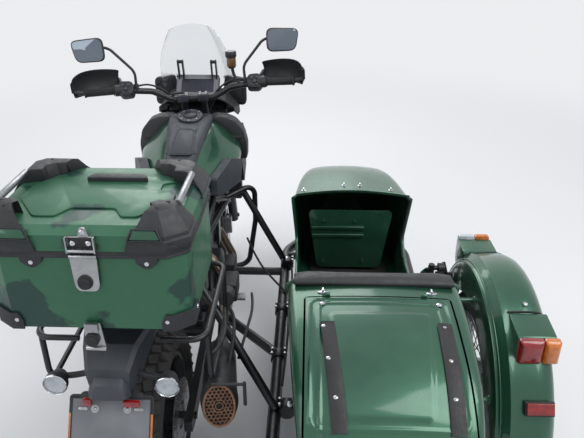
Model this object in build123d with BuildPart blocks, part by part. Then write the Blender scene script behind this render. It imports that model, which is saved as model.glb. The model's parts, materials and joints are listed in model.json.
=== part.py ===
from build123d import *
import os
from math import atan2, cos, degrees, hypot, radians, sin, sqrt, tan

os.makedirs("parts", exist_ok=True)

# Every size is in millimetres and every angle in degrees.
# X points right from the motorcycle's centre plane, Y forward from its rear axle, Z up from the ground.

# Stance
wheelbase = 1580.0
rake = 25.0
fork_offset = 32.0
steer_rest = 6.0
steer_lock = 34.0
sidecar_track = 1195.0
sidecar_lead = 225.0

# Tyres: radius, width and the radius of the rim seat
front_tyre_radius = 325.0
front_tyre_width = 118.0
front_seat_radius = 241.0
rear_tyre_radius = 318.0
rear_tyre_width = 168.0
rear_seat_radius = 216.0
sidecar_tyre_radius = 330.0
sidecar_tyre_width = 100.0
sidecar_seat_radius = 241.0
bead_share = 0.36
flange_height = 13.0

# Fits
hub_clearance = 0.3
moving_gap = 6.0
seat_gap = 0.3

# Fork and steering
fork_half = 103.0
fork_tube = 48.0
fork_slider = 60.0
stem_radius = 15.0
head_tube = 64.0
head_length = 130.0
head_height = 925.0
axle_radius = 11.0
front_disc_radius = 160.0
rear_disc_radius = 133.0
disc_thickness = 5.0
front_disc_half = 66.0

# Handlebar
bar_tube = 28.6
grip_tube = 34.0
bar_height = 1236.0
bar_reach = 456.0
bar_grip_y = 1030.0
bar_clamp = (45.0, 1118.0, 1162.0)

# Top case
case_half = 248.0
case_rear = -400.0
case_front = -18.0
case_floor = 1000.0
case_rim = 1208.0
case_top = 1292.0
case_wall = 2.5
case_chamfer = 46.0
rim_band = 16.0
case_lid_swing = 75.0
case_hinge = (0.0, case_front + 12.0, case_rim + rim_band)

# Sidecar tub
tub_x = 735.0
tub_toe = 0.0203
tub_toe_y = 727.0
tub_wall = 3.0
hood_edge = 872.0
sill_height = 490.0
bulkhead_y = 42.0
lid_front = -42.0
lid_gap = 1.5
lid_sheet = 2.0
lid_swing = 70.0
lid_hinge = (tub_x, lid_front + 4.0, 872.0)
lid_hinge_x = 150.0

# Sidecar chassis
chassis_height = 326.0
chassis_tube = 48.0
chassis_left = 425.0
chassis_right = 1040.0
strut_tube = 32.0

front_axle = (0.0, wheelbase, front_tyre_radius)
rear_axle = (0.0, 0.0, rear_tyre_radius)
sidecar_axle = (sidecar_track, sidecar_lead, sidecar_tyre_radius)

steer_dir = Vector(0, -sin(radians(rake)), cos(radians(rake)))
steer_side = Vector(0, cos(radians(rake)), sin(radians(rake)))
steer_foot = Vector(*front_axle) - steer_side * fork_offset


def on_steer_axis(height):
    """The point of the steering axis at a height above the ground."""
    return steer_foot + steer_dir * ((height - steer_foot.Z) / steer_dir.Z)


def on_fork(side, height):
    """The point of one fork leg's centre line at a height above the ground."""
    along = (height - front_axle[2]) / steer_dir.Z
    point = Vector(*front_axle) + steer_dir * along
    return (side * fork_half, point.Y, point.Z)


def tube(points, diameter, bend=0.0):
    """A round bar along straight runs, with its corners bent to one radius."""
    with BuildLine() as route:
        if len(points) > 2:
            FilletPolyline(*points, radius=bend)
        else:
            Line(*points)
    with BuildSketch(Plane(origin=route.line @ 0, z_dir=route.line % 0)) as section:
        Circle(diameter / 2)
    sweep(section.sketch, path=route.line)


def slab(plane, outline, thickness, corner=0.0, both=False, mode=Mode.ADD):
    """A flat piece with a polygon outline and rounded corners."""
    with BuildSketch(plane) as face:
        with BuildLine():
            Polyline(*outline, close=True)
        make_face()
        if corner:
            fillet(face.vertices(), corner)
    extrude(face.sketch, amount=thickness, both=both, mode=mode)


def skin(sections, mode=Mode.ADD, ruled=False):
    """A body through outlines with cut corners; each row is a plane, an outline and the length of the cuts."""
    faces = []
    for plane, outline, corner in sections:
        with BuildSketch(plane) as face:
            with BuildLine():
                Polyline(*outline, close=True)
            make_face()
            if corner:
                chamfer(face.vertices(), corner)
        faces.append(face.sketch)
    loft(faces, ruled=ruled, mode=mode)


def across(y, x=0.0):
    """The upright plane across the vehicle at one station, with its own X to the right and Y up."""
    return Plane(origin=(x, y, 0), x_dir=(1, 0, 0), z_dir=(0, -1, 0))


def hexagon(half_top, half_mid, half_low, top, mid, low):
    """A six-sided outline that is widest at its middle height."""
    return [
        (-half_top, top), (half_top, top), (half_mid, mid),
        (half_low, low), (-half_low, low), (-half_mid, mid),
    ]


def tyre(axle, radius, width, seat, crown):
    """A tyre on its rim seat: a round tread, bulged sides and two beads."""
    bead = width * bead_share
    shoulder = radius - crown
    wall = (radius + seat) / 2
    plane = Plane(origin=axle, x_dir=(1, 0, 0), z_dir=(0, -1, 0))
    with BuildSketch(plane) as face:
        with BuildLine():
            ThreePointArc((-width / 2 + 4, shoulder), (0, radius), (width / 2 - 4, shoulder))
            ThreePointArc((width / 2 - 4, shoulder), (width / 2, wall), (bead, seat + flange_height))
            Line((bead, seat + flange_height), (bead, seat))
            Line((bead, seat), (-bead, seat))
            Line((-bead, seat), (-bead, seat + flange_height))
            ThreePointArc((-bead, seat + flange_height), (-width / 2, wall), (-width / 2 + 4, shoulder))
        make_face()
    revolve(face.sketch, axis=Axis(axle, (1, 0, 0)))


def rim(axle, seat, width, depth):
    """A wheel rim: a shallow channel with two turned flanges beside the tyre's beads."""
    half = width * bead_share
    plane = Plane(origin=axle, x_dir=(1, 0, 0), z_dir=(0, -1, 0))
    outline = [
        (-half, seat), (-half, seat + flange_height - 2), (-half - 5, seat + flange_height - 4), (-half - 5, seat - 6),
        (-half * 0.55, seat - depth), (half * 0.55, seat - depth), (half + 5, seat - 6),
        (half + 5, seat + flange_height - 4), (half, seat + flange_height - 2), (half, seat),
    ]
    with BuildSketch(plane) as face:
        with BuildLine():
            Polyline(*outline, close=True)
        make_face()
    revolve(face.sketch, axis=Axis(axle, (1, 0, 0)))


def disc(axle, x, radius, inner, thickness):
    """A brake disc with a ring of cooling holes."""
    plane = Plane(origin=(axle[0] + x, axle[1], axle[2]), x_dir=(0, 1, 0), z_dir=(1, 0, 0))
    with BuildSketch(plane) as face:
        Circle(radius)
        Circle(inner, mode=Mode.SUBTRACT)
        with PolarLocations((radius + inner) / 2, 18):
            Circle(6, mode=Mode.SUBTRACT)
    extrude(face.sketch, amount=thickness / 2, both=True)


def cylinder(start, end, radius, mode=Mode.ADD):
    """A round bar between two points."""
    start, end = Vector(*start), Vector(*end)
    with BuildSketch(Plane(origin=start, z_dir=end - start)) as face:
        Circle(radius)
    extrude(face.sketch, amount=(end - start).length, mode=mode)


# Motorcycle frame: steering head, trellis and subframe
head_low = on_steer_axis(head_height)
head_high = head_low + steer_dir * head_length
pivot = (0.0, 560.0, 385.0)
frame_tube = 30.0
seat_rail = 25.0
head_side = 24.0
rail_x = 78.0

upper_node = (118.0, 800.0, 800.0)
front_node = (150.0, 1030.0, 700.0)
rear_node = (100.0, 640.0, 690.0)
rail_end = (rail_x, -160.0, 850.0)
rail_knee = (rail_x, 60.0, 790.0)
trellis_runs = [
    # start, end
    ((head_side, head_high.Y - 10, head_high.Z - 25), upper_node),
    ((head_side, head_low.Y - 14, head_low.Z + 50), front_node),
    (front_node, rear_node),
    (upper_node, rear_node),
    (upper_node, front_node),
    (rear_node, rail_end),
    ((96.0, 600.0, 560.0), rail_knee),
]
plate_x = 90.0
engine_bolts = ((584.0, 484.0), (1002.0, 490.0))
with BuildPart() as frame:
    for start, end in trellis_runs:
        tube([start, end], frame_tube if end[1] > 500 else seat_rail)
    slab(Plane.YZ.offset(plate_x), [(618, 468), (624, 696), (574, 690), (548, 468)], 16, corner=10)
    slab(Plane.YZ.offset(plate_x), [(974, 472), (1034, 472), (1050, 712), (1010, 712)], 16, corner=8)
    cylinder((90, 1030, 640), (front_node[0] + 8, 1030, 690), 14)
    mirror(about=Plane.YZ)
    cylinder((-100, 628, 690), (100, 628, 690), 14)
    cylinder((-rail_x, *rail_end[1:]), rail_end, 10)
    cylinder(tuple(head_low), tuple(head_high), head_tube / 2)
    cylinder(tuple(head_low - steer_dir * 5), tuple(head_high + steer_dir * 5),
             stem_radius + hub_clearance, mode=Mode.SUBTRACT)

# Engine: crankcase with clutch and generator covers; its rear boss carries the swingarm
crank = (0.0, 850.0, 415.0)
pivot_shaft = 14.0
case_half_x = 84.0
with BuildPart() as engine:
    slab(Plane.YZ, [(520, 345), (620, 300), (660, 285), (1010, 275), (1062, 360), (1030, 500), (930, 580), (770, 600),
                    (640, 540), (530, 430)],
         case_half_x, corner=24, both=True)
    for side, reach, radius in ((1, 126, 96), (-1, 120, 84)):
        cylinder(crank, (side * reach, crank[1], crank[2]), radius)
    cylinder((0, 705, 440), (108, 705, 440), 50)
    cylinder((0, 705, 400), (-94, 705, 400), 40)
    for y, z in engine_bolts:
        cylinder((-plate_x, y, z), (plate_x, y, z), 13)
    cylinder((-200, *pivot[1:]), (200, *pivot[1:]), pivot_shaft + seat_gap, mode=Mode.SUBTRACT)

# Cylinders with their heads, one leaning forward and one back
bank_rows = [
    # lean from upright, distance of barrel foot, distance of barrel top, distance of head top
    (48.0, 105, 205, 300),
    (-27.0, 105, 215, 312),
]
with BuildPart() as cylinders:
    for lean, foot, deck, crown in bank_rows:
        along = Vector(0, sin(radians(lean)), cos(radians(lean)))
        base = Plane(origin=Vector(*crank) + along * foot, x_dir=(1, 0, 0), z_dir=along)
        with BuildSketch(base) as barrel:
            RectangleRounded(130, 126, 28)
        extrude(barrel.sketch, amount=deck - foot)
        with BuildSketch(base.offset(deck - foot)) as head:
            RectangleRounded(168, 146, 22)
        extrude(head.sketch, amount=crown - deck - 30)
        with BuildSketch(base.offset(crown - foot - 30)) as cover:
            RectangleRounded(150, 122, 26)
        extrude(cover.sketch, amount=30, taper=8)
    add(engine.part, mode=Mode.SUBTRACT)

# Radiator ahead of the engine, with its two side tanks
with BuildPart() as radiator:
    radiator_plane = Plane(origin=(0, 1216, 735), x_dir=(1, 0, 0), z_dir=(0, 0.97, 0.24))
    with BuildSketch(radiator_plane) as core:
        RectangleRounded(330, 230, 8)
    extrude(core.sketch, amount=16, both=True)
    with BuildSketch(radiator_plane) as tanks:
        with GridLocations(352, 0, 2, 1):
            RectangleRounded(44, 250, 14)
    extrude(tanks.sketch, amount=24, both=True)
    for side in (1, -1):
        cylinder((side * 115, 1092, 775), (side * 164, 1205, 775), 8)
        cylinder((side * 98, 1036, 650), (side * 126, 1232, 650), 8)
    add(frame.part, mode=Mode.SUBTRACT)

# Exhaust headers run to one silencer on the right
header_tube = 42.0
link_tube = 52.0
silencer_rear = (268.0, -205.0, 560.0)
silencer_front = (205.0, 250.0, 415.0)
silencer_dir = (Vector(*silencer_rear) - Vector(*silencer_front)).normalized()
collector = (182.0, 430.0, 318.0)
with BuildPart() as exhaust:
    tube([(36, 1075, 548), (84, 1150, 455), (148, 1130, 330), (156, 1030, 250), (162, 640, 246), collector],
         header_tube, bend=36)
    tube([(40, 690, 600), (120, 645, 590), (178, 600, 520), (182, 520, 400), collector], header_tube, bend=30)
    tube([(181, 455, 308), (184, 380, 342), silencer_front], link_tube, bend=40)
    add(engine.part, mode=Mode.SUBTRACT)
    add(cylinders.part, mode=Mode.SUBTRACT)
    add(frame.part, mode=Mode.SUBTRACT)

# Silencer: an oval can with a front cone and a recessed grille at its end
silencer_plane = Plane(origin=silencer_front, x_dir=(silencer_dir.Y * -1, silencer_dir.X, 0), z_dir=silencer_dir)
silencer_length = (Vector(*silencer_rear) - Vector(*silencer_front)).length
silencer_wide = 58.0
silencer_tall = 78.0
cap_depth = 46.0
with BuildPart() as silencer:
    with BuildSketch(silencer_plane) as neck:
        Ellipse(32, 34)
    with BuildSketch(silencer_plane.offset(95)) as body_start:
        Ellipse(silencer_wide, silencer_tall)
    with BuildSketch(silencer_plane.offset(silencer_length - 40)) as body_end:
        Ellipse(silencer_wide, silencer_tall)
    with BuildSketch(silencer_plane.offset(silencer_length)) as tail:
        Ellipse(silencer_wide - 6, silencer_tall - 6)
    loft([neck.sketch, body_start.sketch], ruled=True)
    loft([body_start.sketch, body_end.sketch], ruled=True)
    loft([body_end.sketch, tail.sketch], ruled=True)
    with BuildSketch(silencer_plane.offset(silencer_length)) as mouth:
        Ellipse(silencer_wide - 14, silencer_tall - 14)
    extrude(mouth.sketch, amount=-cap_depth, mode=Mode.SUBTRACT)
    add(exhaust.part, mode=Mode.SUBTRACT)

# Fuel tank: lobes that are widest ahead of the rider's knees, with a channel over the frame tubes
tank_rows = [
    # y, half width at top, at middle, at foot, top, middle, foot
    (1108, 104, 190, 130, 1076, 985, 900),
    (1030, 108, 247, 165, 1082, 945, 830),
    (880, 90, 214, 150, 1044, 930, 838),
    (740, 74, 140, 120, 994, 920, 852),
    (640, 66, 104, 98, 956, 910, 864),
]
console_rows = [
    # half width at foot, height
    (92, 18),
    (98, 20),
    (80, 22),
    (66, 22),
    (58, 20),
]
with BuildPart() as tank:
    skin([(across(y), hexagon(ht, hm, hl, top, mid, low), 20) for y, ht, hm, hl, top, mid, low in tank_rows],
         ruled=True)
    add(frame.part, mode=Mode.SUBTRACT)

# Dark shrouds beside the radiator, on the tank's front corners
with BuildPart() as shrouds:
    slab(Plane.YZ.offset(168), [(1048, 1010), (1150, 1040), (1238, 960), (1226, 800), (1120, 745), (1070, 850)], 56, corner=18)
    slab(Plane.YZ.offset(150), [(1090, 990), (1196, 990), (1250, 940), (1250, 700), (1090, 700)], 58, mode=Mode.SUBTRACT)
    mirror(about=Plane.YZ)
    add(tank.part, mode=Mode.SUBTRACT)
    add(radiator.part, mode=Mode.SUBTRACT)
    add(frame.part, mode=Mode.SUBTRACT)

# Console along the tank's top, with the fuel cap
with BuildPart() as console:
    skin([(across(row[0]), [(-half, row[4] + 1), (half, row[4] + 1), (half * 0.86, row[4] + height), (-half * 0.86, row[4] + height)], 6)
          for row, (half, height) in zip(tank_rows, console_rows)], ruled=True)
    cap_plane = Plane(origin=(0, 1030, 1096), x_dir=(1, 0, 0), z_dir=(0, -0.2, 0.98))
    with BuildSketch(cap_plane) as cap:
        Circle(56)
    extrude(cap.sketch, amount=14)
    add(tank.part, mode=Mode.SUBTRACT)

# Knee panels lie on the tank's flanks
with BuildPart() as knee_panels:
    slab(Plane(origin=(190, 800, 915), x_dir=(0.38, 0.92, 0), z_dir=(0.92, -0.38, 0.1)),
         [(-110, -60), (90, -62), (130, 30), (40, 62), (-100, 20)], 6, corner=14)
    slab(Plane(origin=(190, 800, 915), x_dir=(0.38, 0.92, 0), z_dir=(0.92, -0.38, 0.1)),
         [(-110, -60), (90, -62), (130, 30), (40, 62), (-100, 20)], -34, corner=14)
    mirror(about=Plane.YZ)
    add(tank.part, mode=Mode.SUBTRACT)
    add(frame.part, mode=Mode.SUBTRACT)

# Rider and pillion seat
seat_rows = [
    # y, half width, top, foot
    (625, 62, 930, 868),
    (520, 105, 890, 835),
    (380, 158, 880, 830),
    (260, 165, 890, 836),
    (205, 150, 930, 852),
    (75, 132, 948, 874),
]
seat_foot = 20.0
seat_foot_rows = [
    # distance from the middle, y, low, high
    (88, 250, 766, 848), (94, 430, 730, 844),
]
with BuildPart() as seat_feet:
    for x, y, low, high in seat_foot_rows:
        with Locations((x, y, (low + high) / 2)):
            Box(seat_foot, seat_foot, high - low)
    mirror(about=Plane.YZ)
    add(frame.part, mode=Mode.SUBTRACT)
with BuildPart() as seat:
    slab(Plane.YZ, [(y, top) for y, half, top, foot in seat_rows] + [(y, foot) for y, half, top, foot in reversed(seat_rows)],
         200, both=True)
    slab(Plane.XY.offset(800), [(half, y) for y, half, top, foot in seat_rows]
         + [(-half, y) for y, half, top, foot in reversed(seat_rows)], 200, mode=Mode.INTERSECT)
    add(seat_feet.part)

# Tail fairing under the case: a shell open below and in front
tail_rows = [
    # y, half width, top, foot
    (300, 128, 822, 742),
    (40, 122, 866, 780),
    (-200, 108, 900, 805),
    (-318, 78, 884, 742),
    (-372, 62, 838, 742),
]
tail_wall = 4.0
carrier_post_x = 79.0
carrier_posts = (20.0, -110.0)
with BuildPart() as tail_fairing:
    skin([(across(y), [(-half * 0.8, foot), (half * 0.8, foot), (half, top), (-half, top)], 12)
          for y, half, top, foot in tail_rows], ruled=True)
    skin([(across(y + grow), [(-half * 0.8 + 6, foot - 20), (half * 0.8 - 6, foot - 20), (half - 5, top - tail_wall),
                              (-half + 5, top - tail_wall)], 9)
          for (y, half, top, foot), grow in zip(tail_rows, (1, 0, 0, 0, tail_wall))], ruled=True, mode=Mode.SUBTRACT)
    for side in (1, -1):
        cylinder((side * 86, 40, 812), (side * 106, 40, 812), 8)
        cylinder((side * 81, -140, 845), (side * 100, -140, 845), 8)
        for y in carrier_posts:
            cylinder((side * carrier_post_x, y, 840), (side * carrier_post_x, y, 940), 12, mode=Mode.SUBTRACT)
    add(frame.part, mode=Mode.SUBTRACT)
    add(seat.part, mode=Mode.SUBTRACT)

# Rear mudguard and plate holder, with the blank plate
plate_plane = Plane(origin=(0, -402, 668), x_dir=(1, 0, 0), z_dir=(0, -0.84, 0.54))
with BuildPart() as rear_mudguard:
    slab(Plane.YZ, [(-322, 772), (-362, 772), (-452, 612), (-400, 640), (-345, 690)], 52, both=True)
    with BuildSketch(plate_plane) as holder:
        RectangleRounded(236, 168, 10)
    extrude(holder.sketch, amount=6)
    with BuildSketch(plate_plane.offset(6)) as clear:
        Rectangle(400, 400)
    extrude(clear.sketch, amount=200, mode=Mode.SUBTRACT)
    add(tail_fairing.part, mode=Mode.SUBTRACT)
with BuildPart() as number_plate:
    with BuildSketch(plate_plane.offset(6)) as plate:
        RectangleRounded(220, 150, 8)
    extrude(plate.sketch, amount=2)

# Two round rear lamps on stalks
lamp_rear = (156.0, -345.0, 772.0)
lamp_face = 37.0
with BuildPart() as rear_lamps:
    with BuildSketch(Plane(origin=lamp_rear, x_dir=(1, 0, 0), z_dir=(0, -1, 0))) as lens:
        Circle(lamp_face)
    extrude(lens.sketch, amount=16)
    extrude(lens.sketch, amount=-34, taper=20)
    cylinder((58, -316, 785), (lamp_rear[0], -322, lamp_rear[2]), 8)
    mirror(about=Plane.YZ)
    add(tail_fairing.part, mode=Mode.SUBTRACT)

# Swingarm with the rear axle; its two beams clasp the crankcase
arm_rows = (
    # inner x, outer x
    (-146, -120),
    (112, 140),
)
with BuildPart() as swingarm:
    for low, high in arm_rows:
        slab(Plane.YZ.offset(low), [(-62, 292), (-62, 344), (40, 352), (470, 424), (590, 418), (590, 350), (470, 340), (40, 284)],
             high - low, corner=14)
    cylinder((-118, 392, 386), (113, 392, 386), 17)
    cylinder((arm_rows[0][0] - 8, 0, rear_axle[2]), (arm_rows[1][1] + 8, 0, rear_axle[2]), axle_radius + 2)
    cylinder((arm_rows[0][0] - 4, *pivot[1:]), (arm_rows[1][1] + 4, *pivot[1:]), pivot_shaft)

# Rear shock between the swingarm's cross tube and the frame
with BuildPart() as shock:
    cylinder((0, 404, 404), (0, 520, 640), 28)
    cylinder((0, 520, 640), (0, 622, 696), 12)
    cylinder((-150, 392, 386), (150, 392, 386), 17 + seat_gap, mode=Mode.SUBTRACT)
    cylinder((-150, 628, 690), (150, 628, 690), 14 + seat_gap, mode=Mode.SUBTRACT)

# Pannier racks, one loop each side, welded to the tail's sides
rack_tube = 18.0
rack_x = 248.0
rack_low = 640.0
rack_high = 842.0
with BuildPart() as pannier_racks:
    tube([(112, 190, rack_high), (rack_x, 190, rack_high), (rack_x, -240, rack_high), (112, -240, rack_high)],
         rack_tube, bend=45)
    tube([(rack_x, 150, rack_high), (rack_x, 150, rack_low), (rack_x, -200, rack_low), (rack_x, -200, rack_high)],
         rack_tube, bend=60)
    mirror(about=Plane.YZ)
    add(tail_fairing.part, mode=Mode.SUBTRACT)
    slab(Plane.XY.offset(700), [(-118, -260), (118, -260), (118, 300), (-118, 300)], 200, mode=Mode.SUBTRACT)

# Skid plate under the engine
with BuildPart() as skid_plate:
    slab(Plane.YZ, [(600, 222), (1030, 222), (1130, 330), (1122, 336), (1024, 230), (600, 230)], 92, both=True)
    for side in (1, -1):
        for y in (690, 980):
            cylinder((side * 60, y, 226), (side * 60, y, 320), 12)
    add(engine.part, mode=Mode.SUBTRACT)

# Footpegs, brake pedal and gear lever, on brackets from the crankcase
peg = (262.0, 640.0, 388.0)
with BuildPart() as footpegs:
    cylinder((case_half_x - 14, *peg[1:]), peg, 9)
    slab(Plane.XY.offset(peg[2] + 6), [(186, 618), (262, 618), (262, 662), (186, 662)], 10, corner=8)
    mirror(about=Plane.YZ)
    tube([(-150, 640, 388), (-156, 730, 372), (-196, 752, 366)], 11, bend=14)
    add(engine.part, mode=Mode.SUBTRACT)

# Nose fairing: a shell open behind and below, around the fork, with the headlamp in its front
fairing_rows = [
    # y, half width, top, foot
    (1195, 196, 1140, 1030),
    (1300, 205, 1165, 960),
    (1420, 168, 1136, 950),
    (1500, 96, 1080, 960),
]
fairing_wall = 5.0
with BuildPart() as fairing_form:
    skin([(across(y), hexagon(half * 0.6, half, half * 0.7, top, (top + foot) / 2, foot), 20)
          for y, half, top, foot in fairing_rows], ruled=True)
with BuildPart() as nose_fairing:
    add(fairing_form.part)
    skin([(across(y), hexagon(half * 0.6 - 4, half - fairing_wall, half * 0.7 - 4, top - fairing_wall, (top + foot) / 2, foot - 30), 16)
          for y, half, top, foot in ((1190, 195, 1139, 1030), fairing_rows[1], fairing_rows[2], (1490, 100, 1084, 960))],
         mode=Mode.SUBTRACT, ruled=True)
    cylinder((0, head_low.Y, 985), (0, 1494, 1010), 12)
    add(frame.part, mode=Mode.SUBTRACT)
    cylinder(tuple(head_low), tuple(head_high), head_tube / 2, mode=Mode.SUBTRACT)
with BuildPart() as headlamp:
    with BuildSketch(across(1500)) as lamp_back:
        with Locations((0, 1020)):
            RectangleRounded(150, 90, 22)
    with BuildSketch(across(1526)) as lamp_glass:
        with Locations((0, 1012)):
            RectangleRounded(128, 72, 20)
    loft([lamp_back.sketch, lamp_glass.sketch])

screen_rows = [
    # y, half width, height above ground
    (1425, 170, 1150),
    (1312, 160, 1360),
    (1250, 104, 1472),
]
screen_sheet = 4.0
screen_bow = 0.45
with BuildPart() as windscreen:
    screen_faces = []
    for y, half, height in screen_rows:
        inner = half - screen_sheet
        drop = -half * screen_bow
        with BuildSketch(Plane(origin=(0, y, height), x_dir=(1, 0, 0), z_dir=(0, -0.46, 0.89))) as arch:
            with BuildLine():
                ThreePointArc((-half, drop), (0, 0), (half, drop))
                Line((half, drop), (inner, drop - screen_sheet))
                ThreePointArc((inner, drop - screen_sheet), (0, -screen_sheet), (-inner, drop - screen_sheet))
                Line((-inner, drop - screen_sheet), (-half, drop))
            make_face()
        screen_faces.append(arch.sketch)
    loft(screen_faces)
    add(fairing_form.part, mode=Mode.SUBTRACT)
    slab(Plane.YZ, [(1190, 900), (1190, 1060), (1300, 1060), (1420, 1040), (1500, 1040), (1560, 1000), (1560, 900)], 300,
         both=True, mode=Mode.SUBTRACT)

display_plane = Plane(origin=(0, 1262, 1182), x_dir=(1, 0, 0), z_dir=(0, -0.72, 0.69))
with BuildPart() as display:
    with BuildSketch(display_plane) as bezel:
        RectangleRounded(204, 118, 12)
    extrude(bezel.sketch, amount=-24)
    with BuildSketch(display_plane) as screen:
        RectangleRounded(178, 94, 4)
    extrude(screen.sketch, amount=-2, mode=Mode.SUBTRACT)
    for x in (-60, 60):
        cylinder((x, 1270, 1172), (x, 1270, 1150), 8)
    add(nose_fairing.part, mode=Mode.SUBTRACT)

# Carrier, case, corner guards and latches
with BuildPart() as carrier:
    slab(Plane.XY.offset(case_floor - 14), [(-150, 40), (150, 40), (150, -330), (-150, -330)], 14, corner=40)
    slab(Plane.XY.offset(case_floor - 14), [(-70, -60), (70, -60), (70, -240), (-70, -240)], 14, corner=30,
         mode=Mode.SUBTRACT)
    for side in (1, -1):
        for y in carrier_posts:
            cylinder((side * carrier_post_x, y, 815 if y > 0 else 842), (side * carrier_post_x, y, case_floor - 10), 11)
    add(frame.part, mode=Mode.SUBTRACT)
    add(seat.part, mode=Mode.SUBTRACT)


def case_outline(inset, x_grow=0.0):
    """The case seen from above: a rectangle with cut rear corners and small cuts in front."""
    half = case_half - inset + x_grow
    rear = case_rear + inset
    front = case_front - inset
    cut = case_chamfer - inset * 0.4
    return [
        (-half + cut, rear), (half - cut, rear), (half, rear + cut * 0.7), (half, front - 22),
        (half - 22, front), (-half + 22, front), (-half, front - 22), (-half, rear + cut * 0.7),
    ]


with BuildPart() as case_body:
    slab(Plane.XY.offset(case_floor), case_outline(0), case_rim - case_floor, corner=6)
    slab(Plane.XY.offset(case_floor + case_wall), case_outline(case_wall), case_rim - case_floor, corner=4,
         mode=Mode.SUBTRACT)
# The case lid turns on two pins; each pin is held by two ears of the band
hinge_rows = (-1, 1)
hinge_pin = 3.0
knuckle_radius = 7.0
knuckle_from, knuckle_to = 100.0, 140.0
ear_thickness = 8.0
hinge_y, hinge_z = case_hinge[1:]
with BuildPart() as band_ears:
    for side in hinge_rows:
        for x in (knuckle_from - 1 - ear_thickness, knuckle_to + 1):
            start = side * x if side > 0 else side * x - ear_thickness
            slab(Plane.YZ.offset(start), [(case_front + 3, hinge_z - 14), (hinge_y + 6, hinge_z - 8), (hinge_y + 6, hinge_z + 4),
                                          (hinge_y - 4, hinge_z + 4), (hinge_y - 6, hinge_z - 2), (case_front + 3, hinge_z - 2)],
                 ear_thickness)
        cylinder((side * (knuckle_from - 6), hinge_y, hinge_z), (side * (knuckle_to + 6), hinge_y, hinge_z), hinge_pin)

with BuildPart() as case_band:
    slab(Plane.XY.offset(case_rim), case_outline(-5), rim_band, corner=6)
    slab(Plane.XY.offset(case_rim), case_outline(6), rim_band, corner=4, mode=Mode.SUBTRACT)
    add(band_ears.part)

lid_low = case_rim + rim_band + seat_gap
with BuildPart() as case_lid:
    lid_levels = ((lid_low, -4), (case_top - 26, -2), (case_top - 6, 16))
    skin([(Plane.XY.offset(z), case_outline(inset), 6) for z, inset in lid_levels], ruled=True)
    skin([(Plane.XY.offset(z), case_outline(inset), 4)
          for z, inset in ((lid_low - 1, -4 + case_wall), (case_top - 27, -2 + case_wall), (case_top - 6 - case_wall, 16 + case_wall))],
         ruled=True, mode=Mode.SUBTRACT)
    for side in hinge_rows:
        slab(Plane.YZ.offset(min(side * knuckle_from, side * knuckle_to)),
             [(case_front + 3, hinge_z + 2), (hinge_y, hinge_z), (hinge_y, hinge_z + knuckle_radius), (case_front + 3, hinge_z + 12)],
             knuckle_to - knuckle_from)
        cylinder((side * knuckle_from, hinge_y, hinge_z), (side * knuckle_to, hinge_y, hinge_z), knuckle_radius)
        cylinder((side * knuckle_from, hinge_y, hinge_z), (side * knuckle_to, hinge_y, hinge_z), hinge_pin + hub_clearance,
                 mode=Mode.SUBTRACT)

guard_size = 96.0
with BuildPart() as lid_guards:
    for side in (1, -1):
        for y0, y1 in ((case_rear - 4, case_rear + guard_size), (case_front - guard_size, case_front + 4)):
            slab(Plane.XY.offset(case_top - 5.7), [(side * 170, y0 + 30), (side * 240, y0 + 30), (side * 240, y1 - 30), (side * 170, y1 - 30)],
                 10, corner=8)
    for side in (1, -1):
        tube([(side * 232, case_rear + 62, case_top + 2), (side * 232, case_rear + 80, case_top + 26),
              (side * 232, case_front - 80, case_top + 26), (side * 232, case_front - 62, case_top + 2)], 16, bend=12)

with BuildPart() as case_latches:
    slab(Plane.XZ.offset(-case_rear), [(-32, 1100), (32, 1100), (32, 1200), (18, 1207), (-18, 1207), (-32, 1200)], 10, corner=5)
    slab(Plane.XZ.offset(-case_rear), [(-40, 968), (40, 968), (36, 1040), (-36, 1040)], 9, corner=5)

# Fork: two legs, two clamps, stem and axle, drawn straight ahead
stem_low = head_low - steer_dir * 34
stem_high = head_high + steer_dir * 30
with BuildPart() as fork:
    for side in (1, -1):
        cylinder(on_fork(side, front_axle[2] - 26), on_fork(side, 742), fork_slider / 2 - 4)
        cylinder(on_fork(side, 700), on_fork(side, 1102), fork_tube / 2 + 4)
    for foot, thickness in ((head_low - steer_dir * 37, 36), (head_high + steer_dir * 1.0, 30)):
        clamp_plane = Plane(origin=foot, x_dir=(1, 0, 0), z_dir=steer_dir)
        slab(clamp_plane, [(-142, 8), (-142, 62), (-70, 76), (70, 76), (142, 62), (142, 8), (50, -28), (-50, -28)],
             thickness, corner=12)
    cylinder(tuple(stem_low), tuple(stem_high), stem_radius)
    cylinder((-fork_half - 34, *front_axle[1:]), (fork_half + 34, *front_axle[1:]), axle_radius)

# Handlebar with its two risers
with BuildPart() as handlebar:
    bar_points = [
        (-bar_reach, bar_grip_y, bar_height), (-310, 1062, bar_height - 4), (-180, 1108, 1208), (-95, 1118, 1162),
        (95, 1118, 1162), (180, 1108, 1208), (310, 1062, bar_height - 4), (bar_reach, bar_grip_y, bar_height),
    ]
    tube(bar_points, bar_tube, bend=60)
    for side in (1, -1):
        tube([(side * 45, 1172, 1048), (side * 45, 1118, 1162)], 32)
    add(fork.part, mode=Mode.SUBTRACT)

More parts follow.
